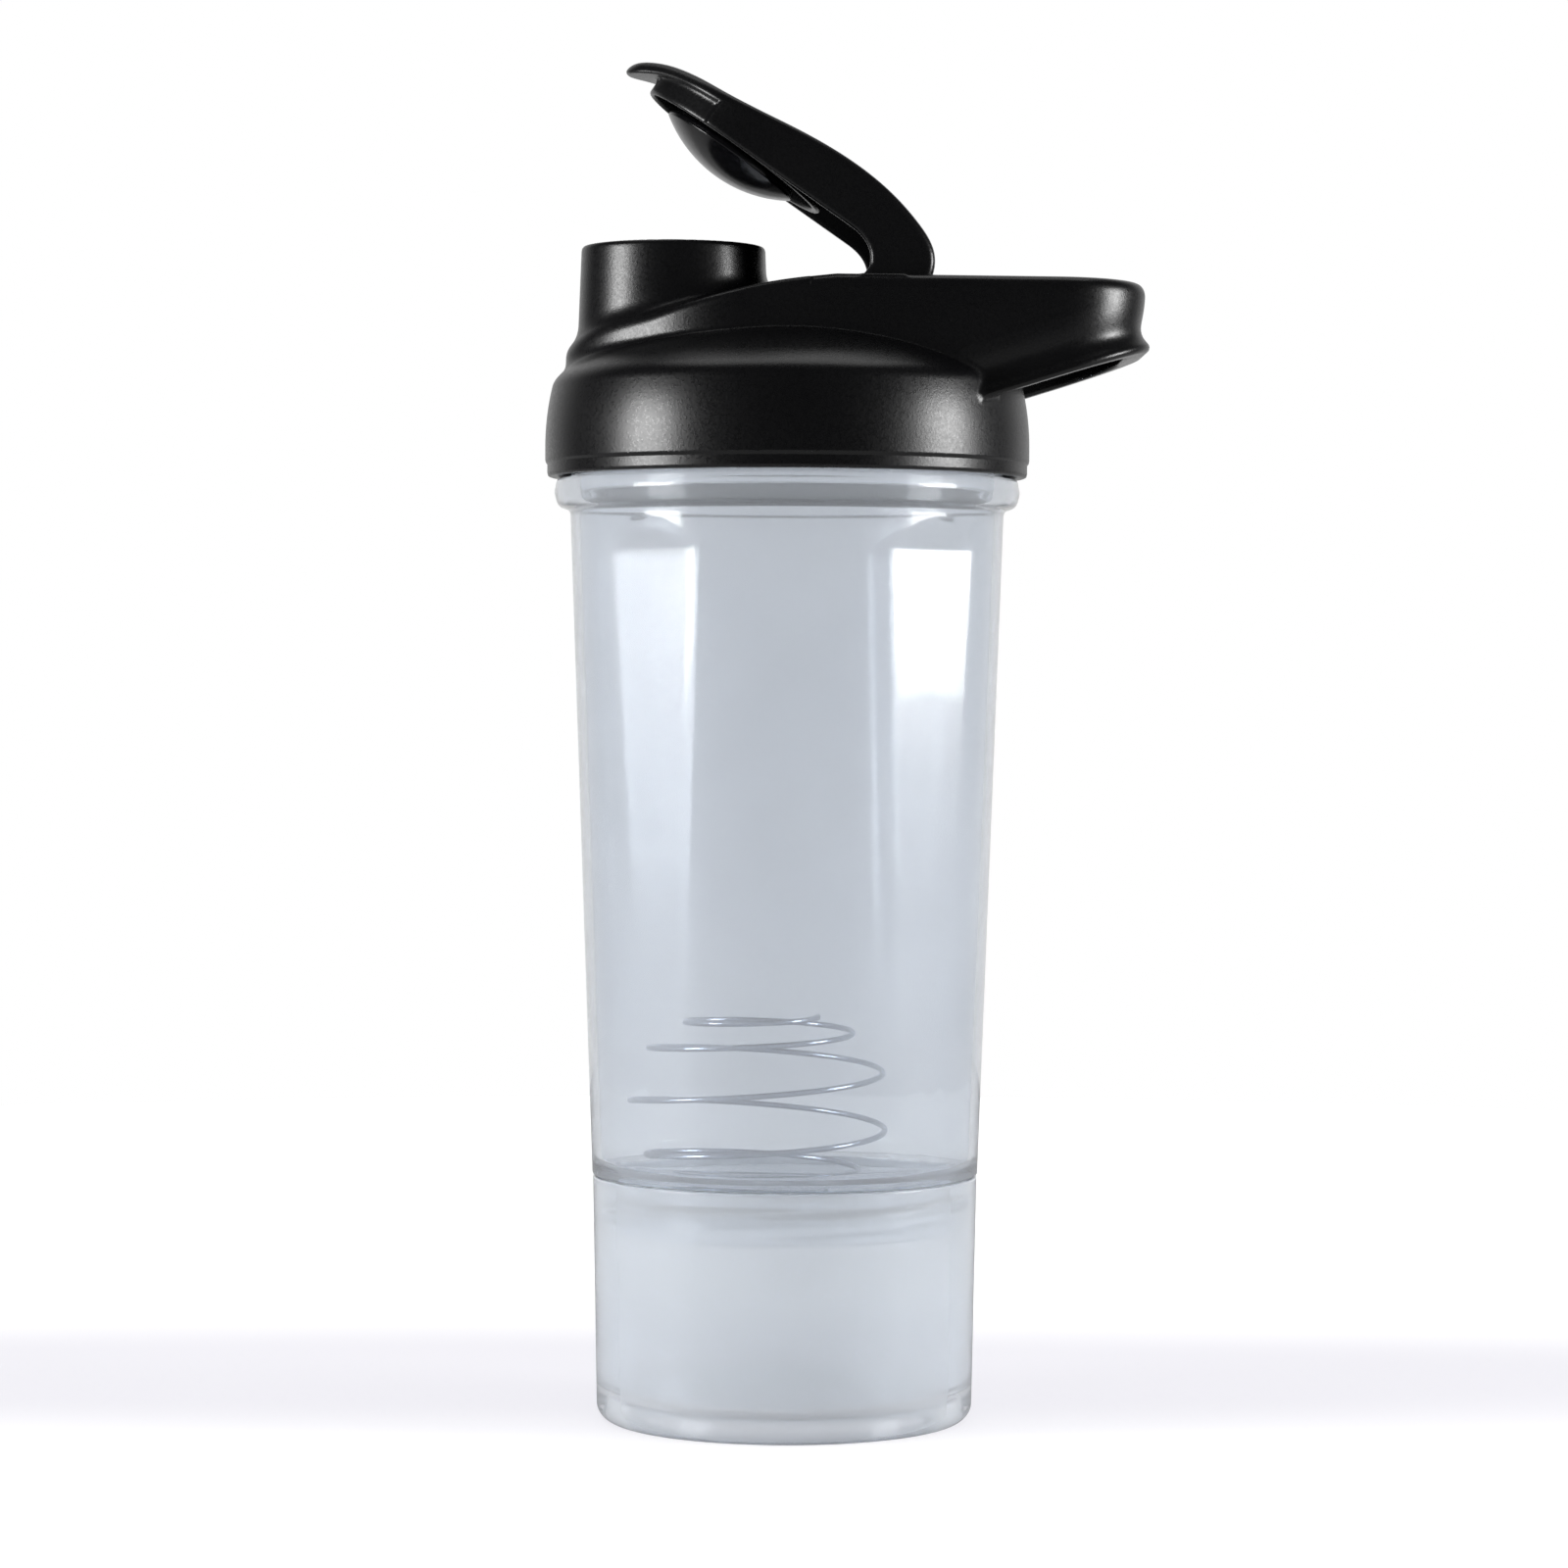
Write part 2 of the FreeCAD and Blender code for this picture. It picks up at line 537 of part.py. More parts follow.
def plug_closed():
    """The soft plug on the cap's inner boss, in its closed position."""
    low_z = PLUG_LIP_Z - PLUG_DEPTH - 4
    body = turned_solid([(0, low_z, 0), (PLUG_LIP_R, low_z, 0),
                         (PLUG_LIP_R, PLUG_LIP_Z + PLUG_LIP_T, 0.4),
                         (PLUG_BODY_R, PLUG_LIP_Z + 1.6 * PLUG_LIP_T, 0.2),
                         (PLUG_BODY_R, PLUG_TOP_Z, 0.4), (0, PLUG_TOP_Z, 0)])
    sphere_r = (PLUG_LIP_R ** 2 + PLUG_DEPTH ** 2) / (2 * PLUG_DEPTH)
    body = body.common(Part.makeSphere(sphere_r, Vec(0, 0, PLUG_LIP_Z - PLUG_DEPTH + sphere_r)))
    body.translate(Vec(SPOUT_X, 0, 0))
    return body.cut(spout_drum(PLUG_BOSS_R + 0.05, PLUG_BOSS_Z - 0.05, CAP_CEILING_Z))


def opened(shape):
    """Swing a piece of the closed cap to the position it is drawn in."""
    turned = shape.copy()
    turned.rotate(Vec(HINGE_X, 0, HINGE_Z), ACROSS, CAP_OPEN_DEG)
    return turned


def ball_point(turn):
    """A point on the mixing ball's wire, turn counted from its lower end."""
    share = turn / BALL_TURNS
    # slow at both ends, so that the first and last turns lie nearly flat
    eased = share - 0.35 * math.sin(2 * math.pi * share) / (2 * math.pi)
    low, high = math.radians(BALL_END_ANGLE), math.radians(180 - BALL_END_ANGLE * 0.8)
    swing = low + eased * (high - low)
    floor = BODY_FLOOR_Z + WIRE_R + 0.1
    height = floor + BALL_HALF_H * (math.cos(low) - math.cos(swing))
    radius = BALL_R * math.sin(swing) ** 0.72
    around = 2 * math.pi * turn
    return Vec(BALL_X + radius * math.cos(around), radius * math.sin(around), height)


def make_mixing_ball():
    steps = int(BALL_TURNS * BALL_STEPS_PER_TURN)
    points = [ball_point(i / BALL_STEPS_PER_TURN) for i in range(steps + 1)]
    curve = Part.BSplineCurve()
    curve.interpolate(points)
    path = Part.Wire([curve.toShape()])
    section = Part.Wire([Part.Circle(points[0], curve.tangent(curve.FirstParameter)[0], WIRE_R).toShape()])
    return path.makePipeShell([section], True, False)


def make_flip_cap():
    return opened(cap_closed())


def make_spout_plug():
    return opened(plug_closed())


MAKERS = {
    "storage_cup": make_storage_cup,
    "cup_gasket": make_cup_gasket,
    "bottle_body": make_bottle_body,
    "mixing_ball": make_mixing_ball,
    "lid_gasket": make_lid_gasket,
    "lid_shell": make_lid_shell,
    "flip_cap": make_flip_cap,
    "spout_plug": make_spout_plug,
}


def main():
    os.makedirs("parts", exist_ok=True)
    for name, make in MAKERS.items():
        shape = make()
        if len(shape.Solids) == 1:
            shape = shape.Solids[0]
        if not shape.isValid() or not shape.Solids:
            raise RuntimeError(name + " is not a valid solid")
        shape.exportStep("parts/" + name + ".step")
        box = shape.BoundBox
        print(f"{name}: {len(shape.Solids)} solid, {shape.Volume / 1000:.2f} cm3, "
              f"x {box.XMin:.1f} {box.XMax:.1f}, y {box.YMin:.1f} {box.YMax:.1f}, "
              f"z {box.ZMin:.1f} {box.ZMax:.1f}")


if __name__ == "__main__":
    main()
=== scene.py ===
import json
import math

import bpy
import numpy as np
from bpy.props import FloatProperty, FloatVectorProperty, IntProperty, PointerProperty
from mathutils import Matrix, Vector


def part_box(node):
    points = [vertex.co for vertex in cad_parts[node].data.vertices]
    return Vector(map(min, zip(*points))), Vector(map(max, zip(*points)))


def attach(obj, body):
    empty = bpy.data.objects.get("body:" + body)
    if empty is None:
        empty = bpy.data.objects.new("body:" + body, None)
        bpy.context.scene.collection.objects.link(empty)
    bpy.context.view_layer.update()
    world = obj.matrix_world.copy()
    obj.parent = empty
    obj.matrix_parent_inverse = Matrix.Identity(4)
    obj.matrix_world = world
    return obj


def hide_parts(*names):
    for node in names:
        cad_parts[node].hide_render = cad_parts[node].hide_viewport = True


bl_info = {
    "name": "Shaker Bottle Maker",
    "version": (1, 0, 0),
    "blender": (4, 5, 0),
    "location": "View3D > Sidebar > Shaker",
    "description": "Builds a protein shaker bottle with a flip-cap lid, a storage cup and a wire ball",
    "category": "Add Mesh",
}

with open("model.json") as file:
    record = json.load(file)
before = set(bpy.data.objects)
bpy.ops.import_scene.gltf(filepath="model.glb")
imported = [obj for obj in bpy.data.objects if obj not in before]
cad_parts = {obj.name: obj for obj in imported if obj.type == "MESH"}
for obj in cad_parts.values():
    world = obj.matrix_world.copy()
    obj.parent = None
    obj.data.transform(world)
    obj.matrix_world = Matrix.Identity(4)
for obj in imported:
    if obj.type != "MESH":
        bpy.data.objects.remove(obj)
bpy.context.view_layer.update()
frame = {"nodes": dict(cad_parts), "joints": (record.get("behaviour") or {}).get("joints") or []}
MM = 0.001

# Shapes are worked out in millimetres, in the frame's axes: the spout towards -X, the carry loop
# towards +X, +Z up. Heights and widths that the frame knows are read from it.
CUP_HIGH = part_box("storage_cup")[1] / MM
BODY_LOW, BODY_HIGH = (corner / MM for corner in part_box("bottle_body"))
LID_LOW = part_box("lid_shell")[0] / MM
CAP_HINGE = next(joint for joint in frame["joints"] if joint["name"] == "cap_hinge")
HINGE = Vector(CAP_HINGE["pos_m"]) / MM
CAP_CLOSED = math.radians(CAP_HINGE["range_deg"][0])

# Storage cup
CUP_BASE_R = 35.6
CUP_TOP_R = CUP_HIGH.x
CUP_WALL = 1.5
CUP_FLOOR = 6.0
CUP_FLOOR_T = 1.8
FOOT_RING_R = 29.0

# Bottle
SHOULDER_Z = CUP_HIGH.z + 0.3
BODY_FOOT_R = 36.6
BODY_TOP_R = 41.1
BODY_TOP_Z = 172.7
BODY_WALL = 1.6
BODY_FLOOR = 43.0
BODY_FLOOR_T = 1.6
FOOT_NECK_R = 33.4
BEAD_R = BODY_HIGH.x
BEAD_LOW = 173.4
BEAD_TOP = 178.6
NECK_R = 41.0
PANEL_ANGLES = (-46.0, -130.0, 50.0, 134.0)
PANEL_TOP_Z = 165.6
PANEL_TOP_D = 39.4
PANEL_SLOPE = 0.0245
PANEL_RAMP_SLOPE = 0.35
PANEL_BLEND = 0.16

# Threads
THREAD_LEAD = 8.0
THREAD_PITCH = 4.0
THREAD_SIDE = math.pi / 2
THREAD_ROOT_HALF = 1.1
THREAD_CREST_HALF = 0.5
THREAD_GAP = 0.5
THREAD_FLANK = 0.375
THREAD_RUN_OUT = 0.35
NECK_THREAD = (187.9, 0.8)
LID_THREAD = (187.7, 0.55)
FOOT_THREAD = (41.0, 0.55)
CUP_THREAD = (41.4, 0.42)

# Lid
PARTING_Z = 181.8
SKIRT_R = 45.5
COLLAR_R = 45.9
DOME_R = 90.0
DOME_T = 2.0
DOME_CENTRE_Z = 119.9
LID_BORE_R = 43.1
SHOULDER = ((45.9, 192.8), (44.3, 197.5))
BROW = ((44.3, 197.5), (42.6, 199.2))
SEAT_Z = 196.8
LIP_INNER_R = 37.8
LIP_OUTER_R = 39.1
LIP_LOW = 192.4
WALL_HALF = 27.0
WALL_T = 3.8
LOOP_END_X = 67.0
LOOP_CORNER_R = 17.0
FLANGE_TIP = (35.4, 192.3)
FLANGE_SLOPE = 0.31
WALL_TOP_FALL = 0.010
DECK_FRONT_X = -41.8
DECK_FULL_X = -8.0
DECK_BACK_X = 4.5
RIDGE = ((-43.0, 202.4), (-32.3, 206.2), (-23.0, 209.2), (-12.5, 212.1), (-3.0, 214.2), (9.0, 215.7))
WALL_BULGE = ((0.0, 0.8), (1.2, 0.8), (1.8, 0.45), (3.0, -0.3), (4.6, -0.75), (6.4, -0.55), (8.4, -0.2),
              (10.5, 0.0))

# Spout
SPOUT_X = -21.7
SPOUT_TOP = 222.7
SPOUT_TOP_R = 17.4
SPOUT_FOOT_R = 18.2
SPOUT_FOOT_Z = 202.0
SPOUT_BORE_R = 15.9

# Hinge
PIN_R = 2.5
HOLE_R = 2.56
BOSS_R = 5.2
BOSS_FACE = 20.6
BOSS_BACK = 26.0
SHELL_HALF = 24.0
TROUGH_R = 5.7
TROUGH_SHELL_R = 7.2
REST_Z = 206.0
REST_LENGTH = 15.0
KNUCKLE_R = 5.2
PIN_END = 25.0
PIN_END_GAP = 0.3

# Flip cap, in its closed position
CAP_HALF = 20.0
CAP_LOW = 219.2
CAP_SKIRT_R = 19.9
CAP_SKIRT_BORE_R = 18.3
CAP_TOP_T = 1.5
CAP_SIDE_T = 1.8
CAP_CEILING = 224.8
CAP_BACK = ((-47.0, 222.2), (-42.0, 224.6), (-28.0, 226.3), (-13.4, 228.3), (-3.0, 229.3),
            (7.0, 228.9), (15.5, 227.0), (21.3, 223.9), (23.3, 220.0), (23.4, 216.0))
CAP_LEG_FRONT = 13.3
PLATE_BACK_X = -27.8
DRUM_INSET = 0.6
TAB_R = 8.5
TAB_T = 2.4
BOSS_PLUG_R = 11.6
BOSS_PLUG_Z = 219.5

# Plug
PLUG_LIP_R = 14.1
PLUG_BODY_R = 13.3
PLUG_LIP_Z = 218.2
PLUG_DEPTH = 4.3
PLUG_TOP = 222.8

# Mixing ball
BALL_X = -4.9
BALL_R = 24.6
BALL_HALF_H = 17.8
BALL_TURNS = 5
BALL_END_ANGLE = 24.0
WIRE_SIDES = 14
WIRE_END = ((0.95, 0.31), (0.7, 0.71), (0.38, 0.92))

# Stage, in metres
FLOOR_R = 0.7
FLOOR_SIDES = 96
AIM = (0, 0, 0.2)
SIDE_LIGHTS = (("softbox_left", -68), ("softbox_right", 79))
SIDE_LIGHT_Z = 0.28
SIDE_LIGHT_SIZE = (0.40, 0.36)
TOP_LIGHT = (0, 0.25, 1.3)
TOP_LIGHT_SIZE = (1.0, 0.6)
TOP_SHARE = 0.25
CAMERA_Z = 0.1405
LOOK_AT = (-0.0004, 0, 0.1209)
CAMERA_ROLL = 0.2


# ---------------------------------------------------------------- settings

class BottleSettings(bpy.types.PropertyGroup):
    """Finish of the translucent mouldings."""
    tint: FloatVectorProperty(name="Tint", description="Colour of the frosted plastic", subtype="COLOR",
                              size=3, min=0, max=1, default=(0.90, 0.935, 0.98))
    clearness: FloatProperty(name="Clearness", description="Share of light that passes straight through",
                             subtype="FACTOR", min=0, max=1, default=0.84)
    columns: IntProperty(name="Columns", description="Steps round the bottle", min=96, max=720, default=384)


class LidSettings(bpy.types.PropertyGroup):
    """Finish and edges of the black mouldings."""
    black: FloatVectorProperty(name="Black", description="Colour of the lid", subtype="COLOR",
                               size=3, min=0, max=1, default=(0.0022, 0.0022, 0.0028))
    grain: FloatProperty(name="Grain", description="Size of the moulded grain", unit="LENGTH",
                         min=0.0001, max=0.002, default=0.00035, precision=5)
    skin_step: FloatProperty(name="Skin step", description="Mesh step of the lid's skin", unit="LENGTH",
                             min=0.0003, max=0.002, default=0.0005, precision=5)


class BallSettings(bpy.types.PropertyGroup):
    """The mixing ball."""
    wire: FloatProperty(name="Wire", description="Diameter of the ball's wire", unit="LENGTH",
                        min=0.0005, max=0.003, default=0.0011, precision=5)
    steps: IntProperty(name="Steps", description="Steps along each turn", min=24, max=128, default=64)


class StageSettings(bpy.types.PropertyGroup):
    """Camera and studio."""
    distance: FloatProperty(name="Distance", description="Camera to bottle axis", unit="LENGTH",
                            min=0.3, max=3, default=0.9)
    lens: FloatProperty(name="Lens", description="Focal length in millimetres", min=20, max=200,
                        default=108.7)
    softbox: FloatProperty(name="Softbox", description="Strength of the two side lights", unit="POWER",
                           min=0, max=200, default=8.5)


# ---------------------------------------------------------------- meshes

def rounded_profile(corners, step):
    """Points along a profile of (radius, height, corner radius), no further apart than step."""
    points = []
    last = len(corners) - 1
    for i, (r, z, radius) in enumerate(corners):
        here = Vector((r, z))
        if radius == 0 or i in (0, last):
            points.append(here)
            continue
        to_before = (Vector(corners[i - 1][:2]) - here).normalized()
        to_after = (Vector(corners[i + 1][:2]) - here).normalized()
        half = to_before.angle(to_after) / 2
        centre = here + (to_before + to_after).normalized() * radius / math.sin(half)
        start = here + to_before * radius / math.tan(half) - centre
        turn = start.angle_signed(here + to_after * radius / math.tan(half) - centre)
        pieces = max(4, int(abs(turn) * radius / min(step, 0.4)))
        for k in range(pieces + 1):
            spun = Matrix.Rotation(-turn * k / pieces, 2) @ start
            points.append(centre + spun)
    filled = []
    for a, b in zip(points, points[1:]):
        count = max(1, math.ceil((b - a).length / step))
        filled += [a.lerp(b, k / count) for k in range(count)]
    filled.append(points[-1])
    return np.array([list(p) for p in filled])


def turned_mesh(radii, heights):
    """Vertices and faces of a closed turned shape. radii is points by columns, and its first and last
    points lie on the axis."""
    rows, columns = radii.shape
    angles = np.arange(columns) * 2 * math.pi / columns
    z = np.broadcast_to(heights[:, None], radii.shape)
    shell = np.stack([radii * np.cos(angles), radii * np.sin(angles), z], axis=2)[1:-1].reshape(-1, 3)
    count = (rows - 2) * columns
    vertices = np.vstack([shell, [[0, 0, heights[0]], [0, 0, heights[-1]]]])
    faces = []
    for i in range(rows - 3):
        low, high = i * columns, (i + 1) * columns
        for j in range(columns):
            k = (j + 1) % columns
            faces.append((low + j, low + k, high + k, high + j))
    top = (rows - 3) * columns
    for j in range(columns):
        k = (j + 1) % columns
        faces.append((count, k, j))
        faces.append((count + 1, top + j, top + k))
    return vertices, faces


def tube_mesh(points, radius, sides):
    """Vertices and faces of a round wire along points, closed by domed ends."""
    points = np.asarray(points, float)
    along = np.gradient(points, axis=0)
    along /= np.linalg.norm(along, axis=1)[:, None]
    angles = np.arange(sides)[:, None] * 2 * math.pi / sides
    side = np.cross(along[0], (0, 0, 1.0))
    circles = []
    for direction in along:
        side = side - direction * (side @ direction)
        side /= np.linalg.norm(side)
        circles.append(radius * (np.cos(angles) * side + np.sin(angles) * np.cross(direction, side)))
    before, beyond = -radius * along[0], radius * along[-1]
    loops = [points[0] + before * lift + circles[0] * size for lift, size in WIRE_END]
    loops += [point + circle for point, circle in zip(points, circles)]
    loops += [points[-1] + beyond * lift + circles[-1] * size for lift, size in reversed(WIRE_END)]
    vertices = np.vstack(loops + [points[0] + before, points[-1] + beyond])
    faces = []
    for i in range(len(loops) - 1):
        for j in range(sides):
            k = (j + 1) % sides
            faces.append((i * sides + j, (i + 1) * sides + j, (i + 1) * sides + k, i * sides + k))
    base, top = len(loops) * sides, (len(loops) - 1) * sides
    for j in range(sides):
        k = (j + 1) % sides
        faces.append((base, j, k))
        faces.append((base + 1, top + k, top + j))
    return vertices, faces


def make_piece(name, vertices, faces, material, body, node, slot, normals=None):
    """A smooth-shaded piece from millimetre vertices, riding on its body in place of its CAD node."""
    mesh = bpy.data.meshes.new(name)
    mesh.from_pydata((np.asarray(vertices) * MM).tolist(), [], faces)
    mesh.validate()
    mesh.shade_smooth()
    if normals is not None:
        mesh.normals_split_custom_set_from_vertices(normals.tolist())
    mesh.materials.append(material)
    piece = bpy.data.objects.new(name, mesh)
    bpy.context.scene.collection.objects.link(piece)
    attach(piece, body)
    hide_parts(node)
    return piece


# ---------------------------------------------------------------- solid fields
# A field is negative inside a solid and grows by about one per millimetre outwards.

def joined(a, b, blend=0.0):
    """Union of two fields, with a fillet of about 0.6 blend."""
    if blend == 0:
        return np.minimum(a, b)
    share = np.clip(0.5 + 0.5 * (b - a) / blend, 0, 1)
    return b + (a - b) * share - blend * share * (1 - share)


def shared(a, b, blend=0.0):
    """What two fields have in common, with a rounded edge."""
    return -joined(-a, -b, blend)


def without(a, b, blend=0.0):
    """The first field with the second cut out of it."""
    return shared(a, -b, blend)


def spline_table(points, samples=240):
    """Points of a natural cubic spline through the given points, spaced by chord length."""
    points = np.asarray(points, float)
    gaps = np.linalg.norm(np.diff(points, axis=0), axis=1)
    knots = np.concatenate([[0], np.cumsum(gaps)])
    count = len(points)
    system, right = np.zeros((count, count)), np.zeros((count, 2))
    system[0, 0] = system[-1, -1] = 1
    for i in range(1, count - 1):
        system[i, i - 1:i + 2] = gaps[i - 1], 2 * (gaps[i - 1] + gaps[i]), gaps[i]
        slope_after = (points[i + 1] - points[i]) / gaps[i]
        slope_before = (points[i] - points[i - 1]) / gaps[i - 1]
        right[i] = 6 * (slope_after - slope_before)
    bend = np.linalg.solve(system, right)
    t = np.linspace(0, knots[-1], samples)
    i = np.clip(np.searchsorted(knots, t, side="right") - 1, 0, count - 2)
    gap, into = gaps[i][:, None], (t - knots[i])[:, None]
    left = gap - into
    return ((bend[i] * left ** 3 + bend[i + 1] * into ** 3) / (6 * gap)
            + (points[i] / gap - bend[i] * gap / 6) * left
            + (points[i + 1] / gap - bend[i + 1] * gap / 6) * into)


def signed_gap(table, x, z):
    """Distance from an open curve of (x, z) points, positive on its left-hand side."""
    best = np.full(x.shape, np.inf)
    signed = np.zeros(x.shape)
    for (ax, az), (bx, bz) in zip(table, table[1:]):
        dx, dz = bx - ax, bz - az
        t = np.clip(((x - ax) * dx + (z - az) * dz) / (dx * dx + dz * dz), 0, 1)
        gap = np.hypot(x - ax - t * dx, z - az - t * dz)
        nearer = gap < best - 1e-9
        best = np.where(nearer, gap, best)
        signed = np.where(nearer, np.sign(dx * (z - az) - dz * (x - ax)) * gap, signed)
    return signed


def cross_drum(x, z, radius):
    """A cylinder along Y about the cap's hinge."""
    return np.hypot(x - HINGE.x, z - HINGE.z) - radius


def spout_drum(x, y, radius):
    """A cylinder about the spout's axis."""
    return np.hypot(x - SPOUT_X, y) - radius


def skin(name, node, field, step, creases=(), rounds=7):
    """Vertices, faces and normals of a field's surface, started from a CAD node's even remesh. Near each
    crease, a (height, inner radius), the mesh is first moved on to its height."""
    rough = bpy.data.objects.new(name + "_rough", frame["nodes"][node].data.copy())
    bpy.context.scene.collection.objects.link(rough)
    remesh = rough.modifiers.new("Even", "REMESH")
    remesh.mode = "VOXEL"
    remesh.voxel_size = step
    even = bpy.data.meshes.new_from_object(rough.evaluated_get(bpy.context.evaluated_depsgraph_get()))
    points = np.zeros(len(even.vertices) * 3)
    even.vertices.foreach_get("co", points)
    points = points.reshape(-1, 3) / MM
    faces = [tuple(face.vertices) for face in even.polygons]
    bpy.data.objects.remove(rough)
    bpy.data.meshes.remove(even)
    reach = 0.7 * step / MM
    for height, radius in creases:
        near = np.abs(points[:, 2] - height) < step / MM / 2
        points[near & (np.hypot(points[:, 0], points[:, 1]) > radius), 2] = height
    for _ in range(rounds):
        value, slope = field_and_slope(field, points)
        size = np.maximum((slope ** 2).sum(axis=1), 0.05)
        move = np.clip(value / np.sqrt(size), -reach, reach) / np.sqrt(size)
        points -= slope * move[:, None]
    normals = field_and_slope(field, points)[1]
    normals /= np.maximum(np.linalg.norm(normals, axis=1), 1e-6)[:, None]
    return points, faces, normals


def field_and_slope(field, points, nudge=0.02):
    """A field's value at each point, and how it grows along the three axes."""
    x, y, z = points.T
    slope = np.empty(points.shape)
    for axis in range(3):
        shift = np.zeros(3)
        shift[axis] = nudge
        ahead = field(x + shift[0], y + shift[1], z + shift[2])
        behind = field(x - shift[0], y - shift[1], z - shift[2])
        slope[:, axis] = (ahead - behind) / (2 * nudge)
    return field(x, y, z), slope


# ---------------------------------------------------------------- shared shader effects

def add(tree, kind, **values):
    """Add a node and set its attributes or its inputs by name."""
    node = tree.nodes.new(kind)
    for key, value in values.items():
        if hasattr(node, key):
            setattr(node, key, value)
        else:
            node.inputs[key].default_value = value
    return node


def noise(tree, **values):
    """A noise texture that stays with the object."""
    where = add(tree, "ShaderNodeTexCoord")
    node = add(tree, "ShaderNodeTexNoise", **values)
    tree.links.new(where.outputs["Object"], node.inputs["Vector"])
    return node


def windowed(tree, source, low, high, **values):
    """How far a value has come from low to high, held between 0 and 1."""
    node = add(tree, "ShaderNodeMapRange", **values)
    node.inputs["From Min"].default_value = low
    node.inputs["From Max"].default_value = high
    tree.links.new(source, node.inputs["Value"])
    return node.outputs["Result"]


def new_group(name, inputs, outputs):
    """An empty shader group with float inputs and the named outputs."""
    group = bpy.data.node_groups.new(name, "ShaderNodeTree")
    for label, default in inputs.items():
        socket = group.interface.new_socket(label, in_out="INPUT", socket_type="NodeSocketFloat")
        socket.default_value = default
    for label, kind in outputs.items():
        group.interface.new_socket(label, in_out="OUTPUT", socket_type=kind)
    return group, group.nodes.new("NodeGroupInput"), group.nodes.new("NodeGroupOutput")


def moulded_grain():
    """Fine pits of a spark-eroded mould: a height, and a mask of shinier high spots."""
    if "Moulded grain" in bpy.data.node_groups:
        return bpy.data.node_groups["Moulded grain"]
    group, given, result = new_group("Moulded grain", {"Density": 3000.0, "Coarse": 0.35},
                                     {"Height": "NodeSocketFloat", "Shine": "NodeSocketFloat"})
    link = group.links.new
    fine = noise(group, Detail=2.0, Roughness=0.6)
    link(given.outputs["Density"], fine.inputs["Scale"])
    where = add(group, "ShaderNodeTexCoord")
    pits = add(group, "ShaderNodeTexVoronoi", feature="SMOOTH_F1")
    link(where.outputs["Object"], pits.inputs["Vector"])
    wider = add(group, "ShaderNodeMath", operation="MULTIPLY")
    wider.inputs[1].default_value = 0.55
    link(given.outputs["Density"], wider.inputs[0])
    link(wider.outputs[0], pits.inputs["Scale"])
    blend = add(group, "ShaderNodeMix", data_type="FLOAT")
    link(given.outputs["Coarse"], blend.inputs["Factor"])
    link(fine.outputs["Fac"], blend.inputs[2])
    link(pits.outputs["Distance"], blend.inputs[3])
    link(blend.outputs[0], result.inputs["Height"])
    link(windowed(group, blend.outputs[0], 0.35, 0.7), result.inputs["Shine"])
    return group


def handling_marks():
    """Soft smudges and faint settling dust: two masks that vary over the surface."""
    if "Handling marks" in bpy.data.node_groups:
        return bpy.data.node_groups["Handling marks"]
    group, given, result = new_group("Handling marks", {"Spread": 28.0, "Dust": 0.15},
                                     {"Smudge": "NodeSocketFloat", "Dust": "NodeSocketFloat"})
    link = group.links.new
    cloud = noise(group, Detail=4.0, Roughness=0.55, Distortion=0.4)
    link(given.outputs["Spread"], cloud.inputs["Scale"])
    link(windowed(group, cloud.outputs["Fac"], 0.42, 0.68), result.inputs["Smudge"])
    specks = noise(group, Scale=900.0, Detail=3.0)
    facing = add(group, "ShaderNodeNewGeometry")
    split = add(group, "ShaderNodeSeparateXYZ")
    link(facing.outputs["Normal"], split.inputs["Vector"])
    both = add(group, "ShaderNodeMath", operation="MULTIPLY")
    link(windowed(group, split.outputs["Z"], 0.3, 1.0), both.inputs[0])
    link(windowed(group, specks.outputs["Fac"], 0.58, 0.75), both.inputs[1])
    scaled = add(group, "ShaderNodeMath", operation="MULTIPLY")
    link(both.outputs[0], scaled.inputs[0])
    link(given.outputs["Dust"], scaled.inputs[1])
    link(scaled.outputs[0], result.inputs["Dust"])
    return group


def new_material(name):
    """An empty node material: its tree and its Principled shader."""
    material = bpy.data.materials.new(name)
    material.use_nodes = True
    tree = material.node_tree
    return material, tree, tree.nodes["Principled BSDF"]


def use_group(tree, group, **values):
    """Place a shared effect in a material with its own values."""
    node = tree.nodes.new("ShaderNodeGroup")
    node.node_tree = group
    for key, value in values.items():
        node.inputs[key].default_value = value
    return node


def ranged(tree, source, low, high):
    """A 0 to 1 value spread between two others."""
    node = add(tree, "ShaderNodeMapRange")
    node.inputs["To Min"].default_value = low
    node.inputs["To Max"].default_value = high
    tree.links.new(source, node.inputs["Value"])
    return node.outputs["Result"]


def bumped(tree, shader, height, strength, distance):
    """Feed a height into a shader's normal."""
    bump = add(tree, "ShaderNodeBump")
    bump.inputs["Strength"].default_value = strength
    bump.inputs["Distance"].default_value = distance
    tree.links.new(height, bump.inputs["Height"])
    tree.links.new(bump.outputs["Normal"], shader.inputs["Normal"])


def tinted(tree, factor, plain, other):
    """A colour mixed from two by a mask."""
    mix = add(tree, "ShaderNodeMix", data_type="RGBA")
    mix.inputs[6].default_value = (*plain, 1)
    mix.inputs[7].default_value = (*other, 1)
    tree.links.new(factor, mix.inputs["Factor"])
    return mix.outputs[2]


